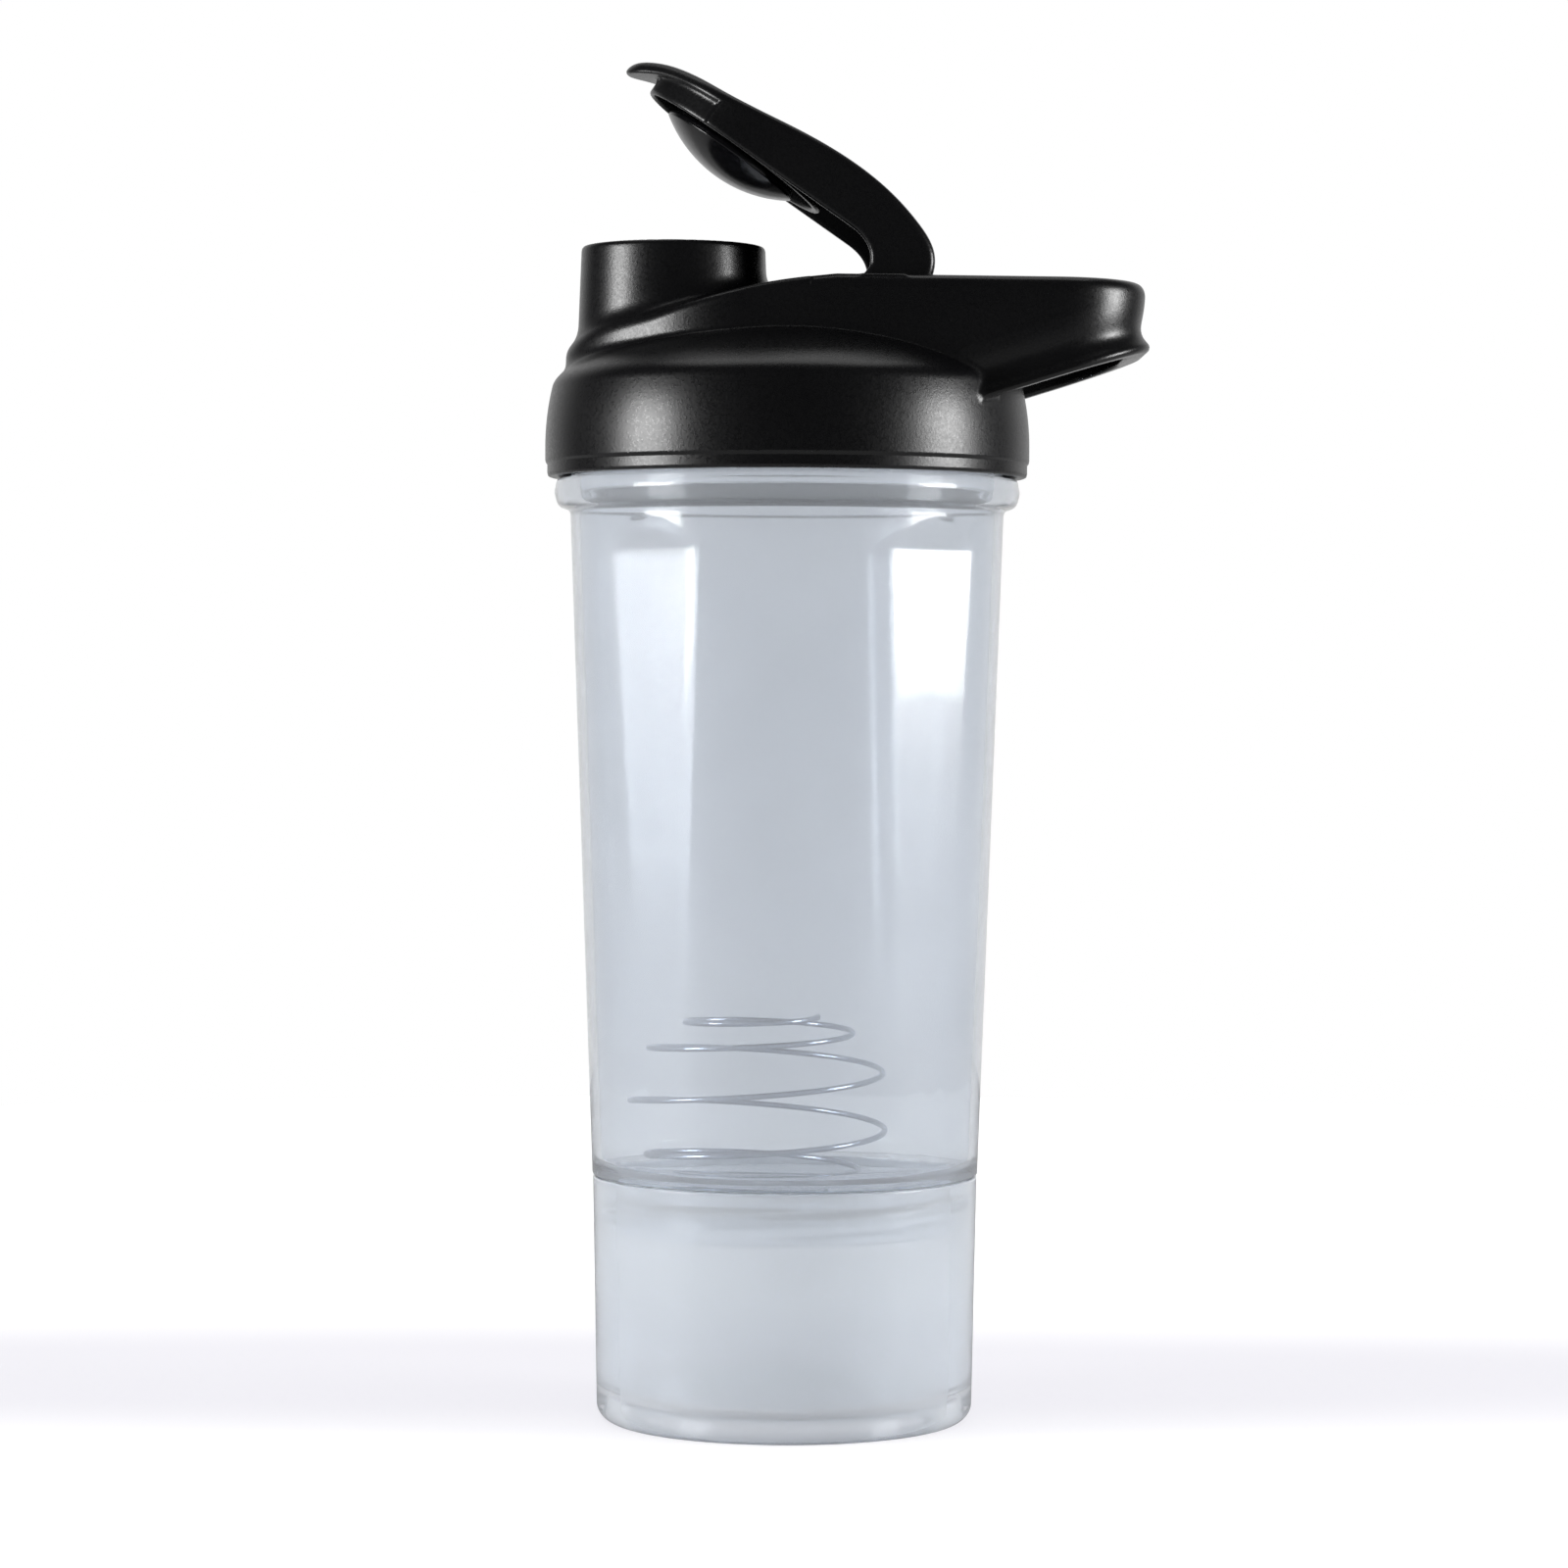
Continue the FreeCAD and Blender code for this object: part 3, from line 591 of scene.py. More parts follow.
def black_plastic(name, roughness, grain, depth, dust):
    """Black moulded plastic with a fine grain, smudges and a little dust on what faces up."""
    settings = bpy.context.scene.shaker_lid
    material, tree, shader = new_material(name)
    texture = use_group(tree, moulded_grain(), Density=1 / grain, Coarse=0.35)
    marks = use_group(tree, handling_marks(), Spread=30.0, Dust=dust)
    dusty = tuple(channel + 0.06 for channel in settings.black)
    tree.links.new(tinted(tree, marks.outputs["Dust"], settings.black, dusty), shader.inputs["Base Color"])
    rough = add(tree, "ShaderNodeMath", operation="ADD")
    satin = ranged(tree, texture.outputs["Shine"], roughness + 0.05, roughness - 0.05)
    tree.links.new(satin, rough.inputs[0])
    tree.links.new(ranged(tree, marks.outputs["Smudge"], 0.0, 0.05), rough.inputs[1])
    tree.links.new(rough.outputs[0], shader.inputs["Roughness"])
    bumped(tree, shader, texture.outputs["Height"], depth, 0.0001)
    return material


def frosted_plastic(name, tint, clearness, roughness):
    """Translucent polypropylene: mostly clear, with a cloudy share and a faint uneven flow."""
    material, tree, shader = new_material(name)
    marks = use_group(tree, handling_marks(), Spread=16.0, Dust=0.0)
    darker = tuple(channel * 0.94 for channel in tint)
    tree.links.new(tinted(tree, marks.outputs["Smudge"], tint, darker), shader.inputs["Base Color"])
    tree.links.new(ranged(tree, marks.outputs["Smudge"], roughness, roughness + 0.03),
                   shader.inputs["Roughness"])
    shader.inputs["IOR"].default_value = 1.15
    shader.inputs["Coat Weight"].default_value = 0.55
    shader.inputs["Coat Roughness"].default_value = 0.17
    shader.inputs["Transmission Weight"].default_value = clearness
    ripple = noise(tree, Scale=60.0, Detail=1.0)
    bumped(tree, shader, ripple.outputs["Fac"], 0.06, 0.0006)
    return material


def drawn_steel():
    """Steel wire, slightly dulled, with faint drawing lines."""
    material, tree, shader = new_material("Drawn steel")
    lines = noise(tree, Scale=2500.0, Detail=2.0)
    shader.inputs["Metallic"].default_value = 1.0
    tree.links.new(tinted(tree, lines.outputs["Fac"], (0.30, 0.33, 0.39), (0.44, 0.47, 0.53)),
                   shader.inputs["Base Color"])
    tree.links.new(ranged(tree, lines.outputs["Fac"], 0.14, 0.3), shader.inputs["Roughness"])
    bumped(tree, shader, lines.outputs["Fac"], 0.1, 0.00005)
    return material


def clear_silicone():
    """Milky soft silicone."""
    material, tree, shader = new_material("Clear silicone")
    marks = use_group(tree, handling_marks(), Spread=60.0, Dust=0.0)
    tree.links.new(tinted(tree, marks.outputs["Smudge"], (0.94, 0.96, 0.98), (0.88, 0.90, 0.93)),
                   shader.inputs["Base Color"])
    tree.links.new(ranged(tree, marks.outputs["Smudge"], 0.42, 0.52), shader.inputs["Roughness"])
    shader.inputs["IOR"].default_value = 1.2
    shader.inputs["Transmission Weight"].default_value = 0.65
    return material


# ---------------------------------------------------------------- pieces

def helix_offset(angle, z, centre_z, centre_angle):
    """Height above the nearest ridge of a two-start thread, in millimetres."""
    rise = z - centre_z - THREAD_LEAD * (angle - centre_angle) / (2 * math.pi)
    return (rise + THREAD_PITCH / 2) % THREAD_PITCH - THREAD_PITCH / 2


def ridge_height(angle, z, thread, centre_angle, depth):
    """How far a thread's ridge stands out of its wall at each point, run out at its ends."""
    centre_z, turns = thread
    offset = np.abs(helix_offset(angle, z, centre_z, centre_angle))
    flank = np.clip((THREAD_ROOT_HALF - offset) / (THREAD_ROOT_HALF - THREAD_CREST_HALF), 0, 1)
    along = z - helix_offset(angle, z, centre_z, centre_angle) - centre_z
    left = THREAD_LEAD * turns / 2 - np.abs(along)
    return depth * flank * np.clip(left / THREAD_RUN_OUT, 0, 1)


def panel_distance(z, inset):
    """Distance of a grip flat from the bottle's axis at each height."""
    flat = PANEL_TOP_D - PANEL_SLOPE * (PANEL_TOP_Z - z)
    ramp = PANEL_TOP_D + PANEL_RAMP_SLOPE * (z - PANEL_TOP_Z)
    return -joined(-flat, -ramp, 0.35) - inset


def with_panels(radii, angles, z, inset):
    """Radii with the four grip flats pressed in."""
    for panel in PANEL_ANGLES:
        off = (angles - math.radians(panel) + math.pi) % (2 * math.pi) - math.pi
        reach = np.cos(np.clip(off, -1.2, 1.2))
        flat = np.where(np.abs(off) < 1.0, panel_distance(z, inset) / reach, 99.0)
        radii = joined(radii, flat, PANEL_BLEND)
    return radii


def cup_shape(columns):
    """The storage cup with its inner thread."""
    bore = CUP_TOP_R - CUP_WALL
    corners = [(0, CUP_FLOOR - CUP_FLOOR_T, 0), (FOOT_RING_R, CUP_FLOOR - CUP_FLOOR_T, 1.2),
               (FOOT_RING_R + 1, 0, 0.8), (CUP_BASE_R, 0, 3.4), (CUP_TOP_R, CUP_HIGH.z, 0.35),
               (bore, CUP_HIGH.z, 0.35), (bore, CUP_HIGH.z - 14, 0), (CUP_BASE_R - CUP_WALL, CUP_FLOOR, 3.0),
               (0, CUP_FLOOR, 0)]
    profile = rounded_profile(corners, 0.45)
    angles = np.arange(columns) * 2 * math.pi / columns
    z = profile[:, 1:2] + 0 * angles
    radii = profile[:, 0:1] + 0 * angles
    inner = (radii < bore + 0.05) & (z > CUP_HIGH.z - 13)
    depth = bore - FOOT_NECK_R - THREAD_GAP + 0.1
    ridge = ridge_height(angles, z, CUP_THREAD, THREAD_SIDE, depth)
    radii = np.where(inner, radii - ridge, radii)
    return turned_mesh(radii, profile[:, 1])


def bottle_shape(columns):
    """The bottle with its grip flats, lid bead and both threads."""
    foot_bore, neck_bore = FOOT_NECK_R - BODY_WALL, NECK_R - BODY_WALL
    floor_under = BODY_FLOOR - BODY_FLOOR_T
    corners = [(0, floor_under, 0), (foot_bore, floor_under, 1.0), (foot_bore, BODY_LOW.z, 0.3),
               (FOOT_NECK_R, BODY_LOW.z, 0.3), (FOOT_NECK_R, SHOULDER_Z, 0.25),
               (BODY_FOOT_R, SHOULDER_Z, 0.35), (BODY_TOP_R, BODY_TOP_Z, 1.2),
               (BEAD_R - 0.7, BEAD_LOW, 1.8), (BEAD_R, (BEAD_LOW + BEAD_TOP) / 2, 2.6),
               (BEAD_R - 0.5, BEAD_TOP, 0.8), (NECK_R, BEAD_TOP + 0.2, 0.5),
               (NECK_R, BODY_HIGH.z, 0.6), (neck_bore, BODY_HIGH.z, 0.6), (neck_bore, BODY_TOP_Z + 4, 2.0),
               (BODY_TOP_R - BODY_WALL, BODY_TOP_Z, 2.0), (BODY_FOOT_R - BODY_WALL, SHOULDER_Z + 2.6, 2.0),
               (foot_bore, SHOULDER_Z + 0.6, 1.2), (foot_bore, BODY_FLOOR, 2.0), (0, BODY_FLOOR, 0)]
    profile = rounded_profile(corners, 0.6)
    rim = int(np.argmax(profile[:, 1]))
    angles = np.arange(columns) * 2 * math.pi / columns
    z = profile[:, 1:2] + 0 * angles
    radii = profile[:, 0:1] + 0 * angles
    outside = (np.arange(len(profile)) <= rim)[:, None]
    wall = (z > SHOULDER_Z + 0.2) & (z < BODY_TOP_Z)
    radii = np.where(outside & wall, with_panels(radii, angles, z, 0), radii)
    inner_wall = (z > SHOULDER_Z + 3.2) & (z < BODY_TOP_Z)
    radii = np.where(~outside & inner_wall, with_panels(radii, angles, z, BODY_WALL), radii)
    upper = outside & (z > BEAD_TOP + 1) & (np.abs(radii - NECK_R) < 0.02)
    neck_depth = LID_BORE_R - THREAD_GAP - NECK_R
    radii = np.where(upper, radii + ridge_height(angles, z, NECK_THREAD, 0, neck_depth), radii)
    lower = outside & (z < SHOULDER_Z) & (np.abs(radii - FOOT_NECK_R) < 0.02)
    foot_depth = CUP_TOP_R - CUP_WALL - THREAD_GAP - FOOT_NECK_R
    radii = np.where(lower, radii + ridge_height(angles, z, FOOT_THREAD, 0, foot_depth), radii)
    return turned_mesh(radii, profile[:, 1])


def ball_path(steps):
    """Points along the mixing ball's wire, from its lower end to its upper one."""
    turn = np.linspace(0, BALL_TURNS, BALL_TURNS * steps + 1)
    share = turn / BALL_TURNS
    eased = share - 0.35 * np.sin(2 * math.pi * share) / (2 * math.pi)
    low, high = math.radians(BALL_END_ANGLE), math.radians(180 - BALL_END_ANGLE * 0.8)
    swing = low + eased * (high - low)
    height = BODY_FLOOR + 0.65 + BALL_HALF_H * (math.cos(low) - np.cos(swing))
    radius = BALL_R * np.sin(swing) ** 0.72
    around = 2 * math.pi * turn
    return np.stack([BALL_X + radius * np.cos(around), radius * np.sin(around), height], axis=1)


RIDGE_TABLE = spline_table(RIDGE)
BULGE_TABLE = spline_table(WALL_BULGE)
BACK_TABLE = spline_table(CAP_BACK, 90)


def ridge_line(x):
    """Height of the swept ridge and wall tops at each x."""
    rising = np.interp(x, RIDGE_TABLE[:, 0], RIDGE_TABLE[:, 1])
    return rising - WALL_TOP_FALL * np.maximum(x - RIDGE[-1][0], 0)


def deck_edge(x, y):
    """The deck's outline: a rounded nose at the front that widens to the side walls."""
    t = np.clip((x - DECK_FRONT_X) / (DECK_FULL_X - DECK_FRONT_X), -0.2, 1)
    square = WALL_HALF ** 2 * (1.15 * t + 0.7 * t ** 2 - 0.85 * t ** 3)
    gap = y * y - square
    steep = WALL_HALF ** 2 / (DECK_FULL_X - DECK_FRONT_X)
    return gap / np.sqrt(4 * y * y + np.where(t < 1, steep, 1.0) ** 2)


def cone(r, z, line):
    """Distance outside the cone through two (radius, height) points, the lower one first."""
    (r0, z0), (r1, z1) = line
    return ((r - r0) * (z1 - z0) - (z - z0) * (r1 - r0)) / math.hypot(r1 - r0, z1 - z0)


def lid_drum(r, z):
    """Collar, soft shoulder and dome."""
    step = np.clip((z - PARTING_Z + 0.45) / 0.5, 0, 1)
    side = r - (SKIRT_R + (COLLAR_R - SKIRT_R) * step)
    dome = np.hypot(r, z - DOME_CENTRE_Z) - DOME_R
    body = shared(side, cone(r, z, SHOULDER), 2.6)
    body = shared(body, cone(r, z, BROW), 1.0)
    body = shared(body, dome, 1.6)
    return shared(body, LID_LOW.z - z, 0.7)


def lid_walls(x, y, z, top):
    """Side walls and rounded end of the carry loop, on the climbing flange."""
    past_x, past_y = x - (LOOP_END_X - LOOP_CORNER_R), np.abs(y) - (WALL_HALF - LOOP_CORNER_R)
    corner = np.hypot(np.maximum(past_x, 0), np.maximum(past_y, 0))
    edge = corner + np.minimum(np.maximum(past_x, past_y), 0) - LOOP_CORNER_R
    above = z - FLANGE_TIP[1] - FLANGE_SLOPE * (x - FLANGE_TIP[0])
    bulge = np.interp(above, BULGE_TABLE[:, 0], BULGE_TABLE[:, 1])
    wall = shared(edge - bulge, top, 2.6)
    wall = shared(wall, -edge - WALL_T, 1.0)
    wall = shared(wall, -above / math.hypot(1, FLANGE_SLOPE), 0.8)
    return shared(wall, DECK_FULL_X - x)


def lid_inside(r, z):
    """The threaded bore and the space under the dome, round the sealing lip."""
    bore = shared(r - LID_BORE_R, z - SEAT_Z)
    lip = shared(shared(LIP_INNER_R - r, r - LIP_OUTER_R, 0.6), LIP_LOW - z, 0.6)
    bore = without(bore, lip)
    hollow = shared(np.hypot(r, z - DOME_CENTRE_Z) - (DOME_R - DOME_T), r - LIP_INNER_R)
    return joined(bore, shared(hollow, SEAT_Z - 2 - z))


def lid_hinge(lid, x, z, across, r, top):
    """The lid with its bosses, and with the trough, the arm's rest and the trunnions' holes cut in."""
    shell = shared(cross_drum(x, z, TROUGH_SHELL_R), across - SHELL_HALF)
    shell = shared(shell, np.hypot(r, z - DOME_CENTRE_Z) - DOME_R + 0.5)
    lid = joined(lid, shell, 0.8)
    boss = shared(cross_drum(x, z, BOSS_R), np.maximum(BOSS_FACE - across, across - BOSS_BACK), 0.5)
    lid = joined(lid, shared(boss, top, 0.5), 0.5)
    trough = cross_drum(x, z, TROUGH_R)
    mouth = np.maximum(np.abs(x - HINGE.x) - TROUGH_R, HINGE.z - z)
    rest = np.maximum(np.maximum(HINGE.x - x, x - HINGE.x - REST_LENGTH), REST_Z - z)
    room = shared(np.minimum(np.minimum(trough, mouth), rest), across - BOSS_FACE)
    lid = without(lid, room, 0.5)
    hole_ends = np.maximum(BOSS_FACE - 2 - across, across - PIN_END - PIN_END_GAP)
    return without(lid, shared(cross_drum(x, z, HOLE_R), hole_ends), 0.2)


def lid_thread(r, angle, z):
    """The ridge of the lid's thread, rooted a little inside the bore's wall."""
    centre_z, turns = LID_THREAD
    offset = helix_offset(angle, z, centre_z, THREAD_SIDE)
    half = THREAD_CREST_HALF + THREAD_FLANK * np.clip(r - NECK_R - THREAD_GAP, 0, 2)
    ridge = np.maximum(NECK_R + THREAD_GAP - r, np.abs(offset) - half)
    ridge = np.maximum(ridge, np.abs(z - offset - centre_z) - THREAD_LEAD * turns / 2)
    return np.maximum(ridge, r - LID_BORE_R - 0.4)


def lid_field(x, y, z):
    """The whole lid moulding."""
    r = np.hypot(x, y)
    across = np.abs(y)
    top = (z - ridge_line(x)) / 1.05
    deck = shared(deck_edge(x, y), top, 1.8)
    deck = shared(shared(deck, x - DECK_BACK_X, 0.6), SEAT_Z - z)
    upper = joined(deck, lid_walls(x, y, z, top))
    lid = joined(lid_drum(r, z), upper, 1.1)
    share = np.clip((z - SPOUT_FOOT_Z) / (SPOUT_TOP - SPOUT_FOOT_Z), 0, 1)
    spout = spout_drum(x, y, SPOUT_FOOT_R + share * (SPOUT_TOP_R - SPOUT_FOOT_R))
    spout = shared(shared(spout, z - SPOUT_TOP, 1.1), SEAT_Z - z)
    lid = joined(lid, spout, 4.0)
    lid = without(lid, lid_inside(r, z), 0.3)
    lid = lid_hinge(lid, x, z, across, r, top)
    lid = without(lid, spout_drum(x, y, SPOUT_BORE_R), 1.1)
    return joined(lid, lid_thread(r, np.arctan2(y, x), z), 0.2)


def cap_outline(x, y):
    """The cap's outline in plan: straight sides, round head, tapered thumb tab."""
    tab_x = CAP_BACK[0][0] + TAB_R
    span = SPOUT_X - tab_x
    lean = (CAP_HALF - TAB_R) / span
    stretch = math.sqrt(1 - lean * lean)
    along, across = SPOUT_X - x, np.abs(y)
    reach = lean * -across + stretch * along
    head = np.hypot(along, across) - CAP_HALF
    tab = np.hypot(along - span, across) - TAB_R
    flank = across * stretch + along * lean - CAP_HALF
    near = along * stretch - across * lean
    nose = np.where(near < 0, head, np.where(near > span * stretch, tab, flank))
    return np.where(x > SPOUT_X, across - CAP_HALF, nose)


def cap_field(x, y, z):
    """The whole flip cap, worked out in its closed position."""
    cos, sin = math.cos(CAP_CLOSED), math.sin(CAP_CLOSED)
    out, up = x - HINGE.x, z - HINGE.z
    x, z = HINGE.x + out * cos + up * sin, HINGE.z - out * sin + up * cos
    across = np.abs(y)
    outline = cap_outline(x, y)
    back = signed_gap(BACK_TABLE, x, z)
    under = joined(CAP_LOW - z, CAP_LEG_FRONT - x, 8.0)
    solid = shared(outline, back, 1.8)
    solid = shared(solid, under, 0.8)
    solid = shared(solid, HINGE.z - 1 - z)
    skirt = spout_drum(x, y, CAP_SKIRT_R)
    ahead = shared(np.maximum(back + TAB_T, x - PLATE_BACK_X), -skirt - DRUM_INSET, 0.8)
    solid = without(solid, ahead, 0.7)
    head_room = shared(spout_drum(x, y, CAP_SKIRT_BORE_R), np.maximum(z - CAP_CEILING, back + CAP_TOP_T))
    arm_room = np.maximum(outline + CAP_SIDE_T, back + CAP_TOP_T)
    arm_room = np.maximum(arm_room, np.maximum(-skirt, SPOUT_X - x))
    solid = without(solid, joined(head_room, arm_room), 0.6)
    boss = np.maximum(spout_drum(x, y, BOSS_PLUG_R), np.maximum(BOSS_PLUG_Z - z, z - CAP_CEILING - 0.6))
    solid = joined(solid, boss, 0.4)
    knuckle = shared(cross_drum(x, z, KNUCKLE_R), across - CAP_HALF, 0.5)
    solid = joined(solid, knuckle, 0.8)
    pin = shared(cross_drum(x, z, PIN_R), across - PIN_END, 0.5)
    return joined(solid, pin, 0.3)


def plug_shape(columns):
    """The soft plug, turned about the spout's axis and swung open with the cap."""
    sphere = (PLUG_LIP_R ** 2 + PLUG_DEPTH ** 2) / (2 * PLUG_DEPTH)
    low = PLUG_LIP_Z - PLUG_DEPTH
    seat_r, seat_z = BOSS_PLUG_R + 0.05, BOSS_PLUG_Z - 0.05
    dome = [(sphere * math.sin(a), low + sphere * (1 - math.cos(a)))
            for a in np.linspace(0, math.asin(PLUG_LIP_R / sphere) - 0.02, 40)]
    rest = rounded_profile([(*dome[-1], 0), (PLUG_LIP_R, PLUG_LIP_Z, 0.25),
                            (PLUG_LIP_R, PLUG_LIP_Z + 1, 0.4), (PLUG_BODY_R, PLUG_LIP_Z + 1.6, 0.2),
                            (PLUG_BODY_R, PLUG_TOP, 0.4),
                            (seat_r, PLUG_TOP, 0.2), (seat_r, seat_z, 0.2), (0, seat_z, 0)], 0.5)
    profile = np.vstack([dome[:-1], rest])
    vertices, faces = turned_mesh(profile[:, 0:1] + np.zeros((1, columns)), profile[:, 1])
    vertices[:, 0] += SPOUT_X
    swing = Matrix.Rotation(-CAP_CLOSED, 3, "Y")
    swung = [HINGE + swing @ (Vector(v) - HINGE) for v in vertices.tolist()]
    return np.array([list(v) for v in swung]), faces


# ---------------------------------------------------------------- operators

class SHAKER_OT_storage_cup(bpy.types.Operator):
    """Make the translucent storage cup"""
    bl_idname = "shaker.storage_cup"
    bl_label = "Storage Cup"

    def execute(self, context):
        settings = context.scene.shaker_bottle
        material = frosted_plastic("Frosted cup", settings.tint, settings.clearness - 0.12, 0.06)
        make_piece("storage_cup_shell", *cup_shape(settings.columns), material, "cup", "storage_cup",
                   "frosted_cup")
        return {"FINISHED"}


class SHAKER_OT_bottle(bpy.types.Operator):
    """Make the tapered bottle with its grip flats"""
    bl_idname = "shaker.bottle"
    bl_label = "Bottle"

    def execute(self, context):
        settings = context.scene.shaker_bottle
        material = frosted_plastic("Frosted bottle", settings.tint, settings.clearness, 0.03)
        make_piece("bottle_shell", *bottle_shape(settings.columns), material, "bottle", "bottle_body",
                   "frosted_bottle")
        return {"FINISHED"}


class SHAKER_OT_mixing_ball(bpy.types.Operator):
    """Wind the wire mixing ball"""
    bl_idname = "shaker.mixing_ball"
    bl_label = "Mixing Ball"

    def execute(self, context):
        settings = context.scene.shaker_ball
        shape = tube_mesh(ball_path(settings.steps), settings.wire / MM / 2, WIRE_SIDES)
        make_piece("mixing_ball_wire", *shape, drawn_steel(), "ball", "mixing_ball", "steel_wire")
        return {"FINISHED"}


class SHAKER_OT_seals(bpy.types.Operator):
    """Give the two silicone rings their finish"""
    bl_idname = "shaker.seals"
    bl_label = "Sealing Rings"

    def execute(self, context):
        material = clear_silicone()
        for node in ("cup_gasket", "lid_gasket"):
            ring = frame["nodes"][node]
            ring.data.materials.clear()
            ring.data.materials.append(material)
        return {"FINISHED"}


class SHAKER_OT_lid(bpy.types.Operator):
    """Make the black lid with its spout and carry loop"""
    bl_idname = "shaker.lid"
    bl_label = "Lid"

    def execute(self, context):
        settings = context.scene.shaker_lid
        material = black_plastic("Black lid", 0.27, settings.grain, 0.30, 0.04)
        creases = ((PARTING_Z, SKIRT_R - 1), (PARTING_Z - settings.skin_step / MM, SKIRT_R - 1))
        points, faces, normals = skin("lid", "lid_shell", lid_field, settings.skin_step, creases)
        make_piece("lid_moulding", points, faces, material, "lid", "lid_shell", "black_lid", normals)
        return {"FINISHED"}


class SHAKER_OT_flip_cap(bpy.types.Operator):
    """Make the flip cap and its plug"""
    bl_idname = "shaker.flip_cap"
    bl_label = "Flip Cap"

    def execute(self, context):
        settings = context.scene.shaker_lid
        material = black_plastic("Black cap", 0.29, settings.grain * 0.8, 0.16, 0.04)
        points, faces, normals = skin("cap", "flip_cap", cap_field, settings.skin_step * 0.8)
        make_piece("flip_cap_moulding", points, faces, material, "cap", "flip_cap", "black_cap", normals)
        glossy = black_plastic("Glossy plug", 0.14, settings.grain * 2, 0.03, 0.0)
        make_piece("spout_plug_moulding", *plug_shape(128), glossy, "cap", "spout_plug", "black_plug")
        return {"FINISHED"}


def area_light(name, where, size, power):
    """A rectangular light aimed at the bottle."""
    data = bpy.data.lights.new(name, "AREA")
    data.shape = "RECTANGLE"
    data.size, data.size_y = size
    data.energy = power
    light = bpy.data.objects.new(name, data)
    bpy.context.scene.collection.objects.link(light)
    light.location = where
    light.rotation_euler = (Vector(AIM) - Vector(where)).to_track_quat("-Z", "Y").to_euler()


def by_ray(tree, camera, through, diffuse, other):
    """Values for camera rays, rays through clear plastic, soft light and the rest."""
    path = add(tree, "ShaderNodeLightPath")
    total = None
    for ray, value in (("Camera", camera), ("Transmission", through), ("Diffuse", diffuse)):
        step = add(tree, "ShaderNodeMath", operation="MULTIPLY_ADD")
        tree.links.new(path.outputs[f"Is {ray} Ray"], step.inputs[0])
        step.inputs[1].default_value = value - other
        step.inputs[2].default_value = other
        if total:
            tree.links.new(total, step.inputs[2])
        total = step.outputs[0]
    return total


def floor_material():
    """A pale matt glowing floor with a painted shadow: a soft darker band round the bottle."""
    material, tree, shader = new_material("Pale floor")
    where = add(tree, "ShaderNodeTexCoord")
    stretch = add(tree, "ShaderNodeMapping")
    stretch.inputs["Location"].default_value = (0.06, -0.39, 0)
    stretch.inputs["Scale"].default_value = (1.2, 7.1, 1)
    tree.links.new(where.outputs["Object"], stretch.inputs["Vector"])
    # Painted shadow: a soft elliptical patch in the floor's own coordinates, darkest just round and behind
    # the bottle.
    shadow_patch = add(tree, "ShaderNodeTexGradient", gradient_type="SPHERICAL")
    tree.links.new(stretch.outputs["Vector"], shadow_patch.inputs["Vector"])
    painted_shadow_band = windowed(tree, shadow_patch.outputs["Fac"], 0.1, 0.75, interpolation_type="SMOOTHSTEP")
    shader.inputs["Base Color"].default_value = (0.2, 0.2, 0.2, 1)
    tree.links.new(ranged(tree, painted_shadow_band, 0.9, 0.8), shader.inputs["Roughness"])
    shader.inputs["Specular IOR Level"].default_value = 0.1
    # Inside the painted shadow band, the floor's glow turns a darker grey-blue.
    tree.links.new(tinted(tree, painted_shadow_band, (1, 1, 1), (0.69, 0.68, 0.73)),
                   shader.inputs["Emission Color"])
    tree.links.new(by_ray(tree, 0.95, 0.50, 0.3, 0.1), shader.inputs["Emission Strength"])
    return material


def studio_world():
    """A pale surround: white to the eye, nearly dark in reflections except far behind the bottle."""
    world = bpy.data.worlds.new("Studio")
    world.use_nodes = True
    tree = world.node_tree
    background = tree.nodes["Background"]
    background.inputs["Color"].default_value = (1, 1, 1, 1)
    where = add(tree, "ShaderNodeTexCoord")
    split = add(tree, "ShaderNodeSeparateXYZ")
    tree.links.new(where.outputs["Generated"], split.inputs[0])
    behind = windowed(tree, split.outputs["Y"], 0.45, 0.95, interpolation_type="SMOOTHSTEP")
    path = add(tree, "ShaderNodeLightPath")
    glow = add(tree, "ShaderNodeMath", operation="MULTIPLY_ADD")
    tree.links.new(ranged(tree, behind, 0, 0.7), glow.inputs[0])
    tree.links.new(path.outputs["Is Reflection Ray"], glow.inputs[1])
    tree.links.new(by_ray(tree, 1.0, 0.585, 0.75, 0.04), glow.inputs[2])
    tree.links.new(glow.outputs[0], background.inputs["Strength"])
    return world


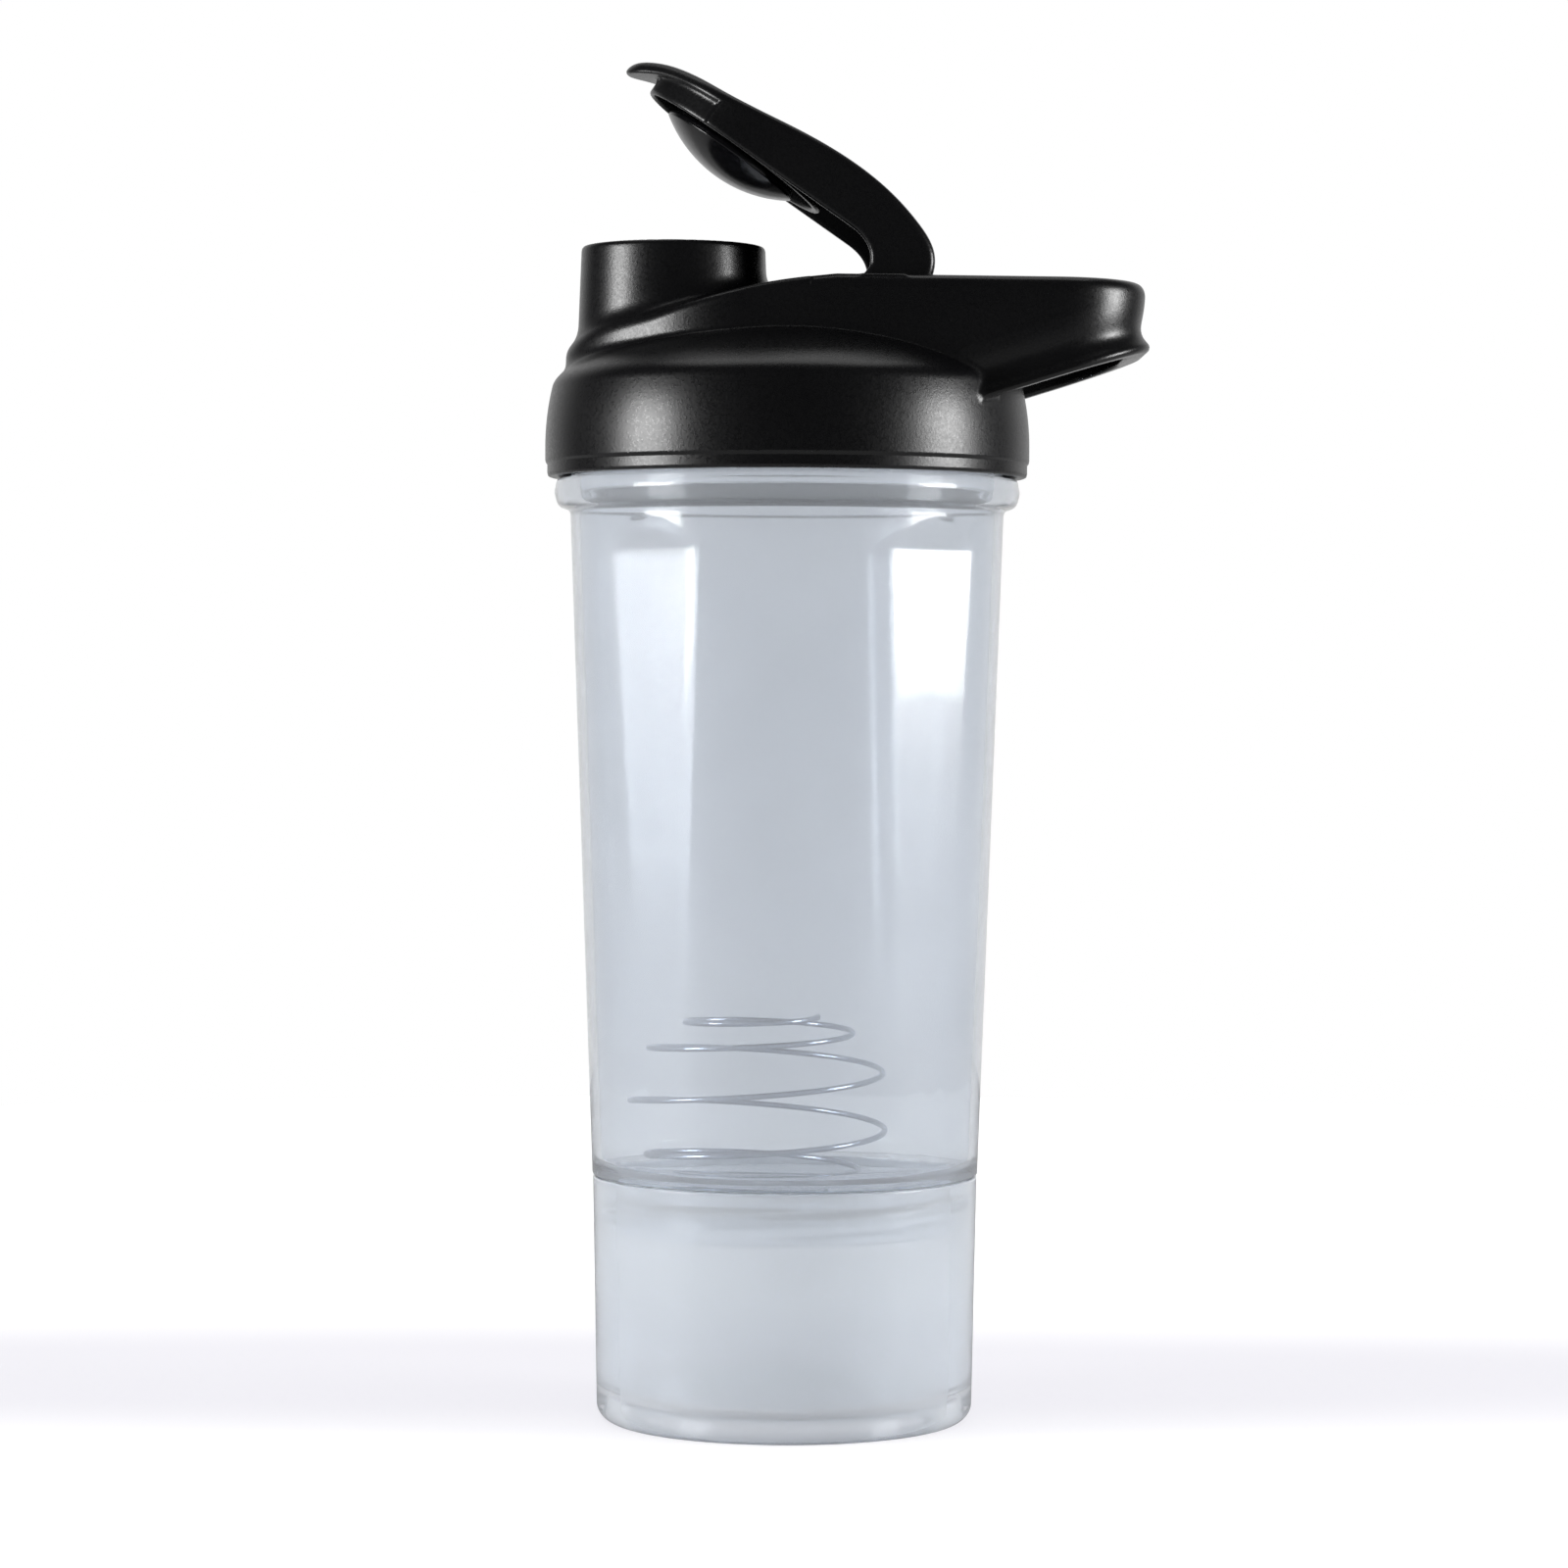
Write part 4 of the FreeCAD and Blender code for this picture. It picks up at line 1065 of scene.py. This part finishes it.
class SHAKER_OT_stage(bpy.types.Operator):
    """Set up the floor, the lights and the camera"""
    bl_idname = "shaker.stage"
    bl_label = "Stage"

    def execute(self, context):
        settings = context.scene.shaker_stage
        scene = context.scene
        turns = np.arange(FLOOR_SIDES) * 2 * math.pi / FLOOR_SIDES
        rim = [(FLOOR_R * math.cos(turn), FLOOR_R * math.sin(turn), 0) for turn in turns]
        mesh = bpy.data.meshes.new("floor")
        mesh.from_pydata(rim, [], [tuple(range(FLOOR_SIDES))])
        mesh.materials.append(floor_material())
        floor = bpy.data.objects.new("floor", mesh)
        scene.collection.objects.link(floor)
        for name, azimuth in SIDE_LIGHTS:
            turn = math.radians(azimuth)
            where = (math.sin(turn), -math.cos(turn), SIDE_LIGHT_Z)
            area_light(name, where, SIDE_LIGHT_SIZE, settings.softbox)
        area_light("softbox_top", TOP_LIGHT, TOP_LIGHT_SIZE, settings.softbox * TOP_SHARE)
        scene.world = studio_world()
        scene.view_settings.view_transform = "Standard"
        data = bpy.data.cameras.new("camera")
        data.lens = settings.lens
        data.sensor_width = 36
        data.clip_start = 0.01
        camera = bpy.data.objects.new("camera", data)
        scene.collection.objects.link(camera)
        camera.location = (0, -settings.distance, CAMERA_Z)
        level = (Vector(LOOK_AT) - camera.location).to_track_quat("-Z", "Y").to_matrix()
        roll = Matrix.Rotation(math.radians(CAMERA_ROLL), 3, "Z")
        camera.rotation_euler = (level @ roll).to_euler()
        scene.camera = camera
        return {"FINISHED"}


class SHAKER_PT_panel(bpy.types.Panel):
    """Buttons for the bottle's pieces and its stage"""
    bl_idname = "SHAKER_PT_panel"
    bl_label = "Shaker Bottle"
    bl_space_type = "VIEW_3D"
    bl_region_type = "UI"
    bl_category = "Shaker"

    def draw(self, context):
        for name in OPERATORS:
            self.layout.operator("shaker." + name)


OPERATORS = ("storage_cup", "bottle", "mixing_ball", "seals", "lid", "flip_cap", "stage")
CLASSES = (BottleSettings, LidSettings, BallSettings, StageSettings, SHAKER_OT_storage_cup, SHAKER_OT_bottle,
           SHAKER_OT_mixing_ball, SHAKER_OT_seals, SHAKER_OT_lid, SHAKER_OT_flip_cap, SHAKER_OT_stage,
           SHAKER_PT_panel)
SETTINGS = {"shaker_bottle": BottleSettings, "shaker_lid": LidSettings, "shaker_ball": BallSettings,
            "shaker_stage": StageSettings}


def register():
    for cls in CLASSES:
        bpy.utils.register_class(cls)
    for name, group in SETTINGS.items():
        setattr(bpy.types.Scene, name, PointerProperty(type=group))


def unregister():
    for name in SETTINGS:
        delattr(bpy.types.Scene, name)
    for cls in reversed(CLASSES):
        bpy.utils.unregister_class(cls)


def plain(box):
    """A box as plain lists of numbers."""
    return [[float(value) for value in corner] for corner in box]


def main():
    register()
    for name in OPERATORS:
        getattr(bpy.ops.shaker, name)()


if __name__ == "__main__":
    main()
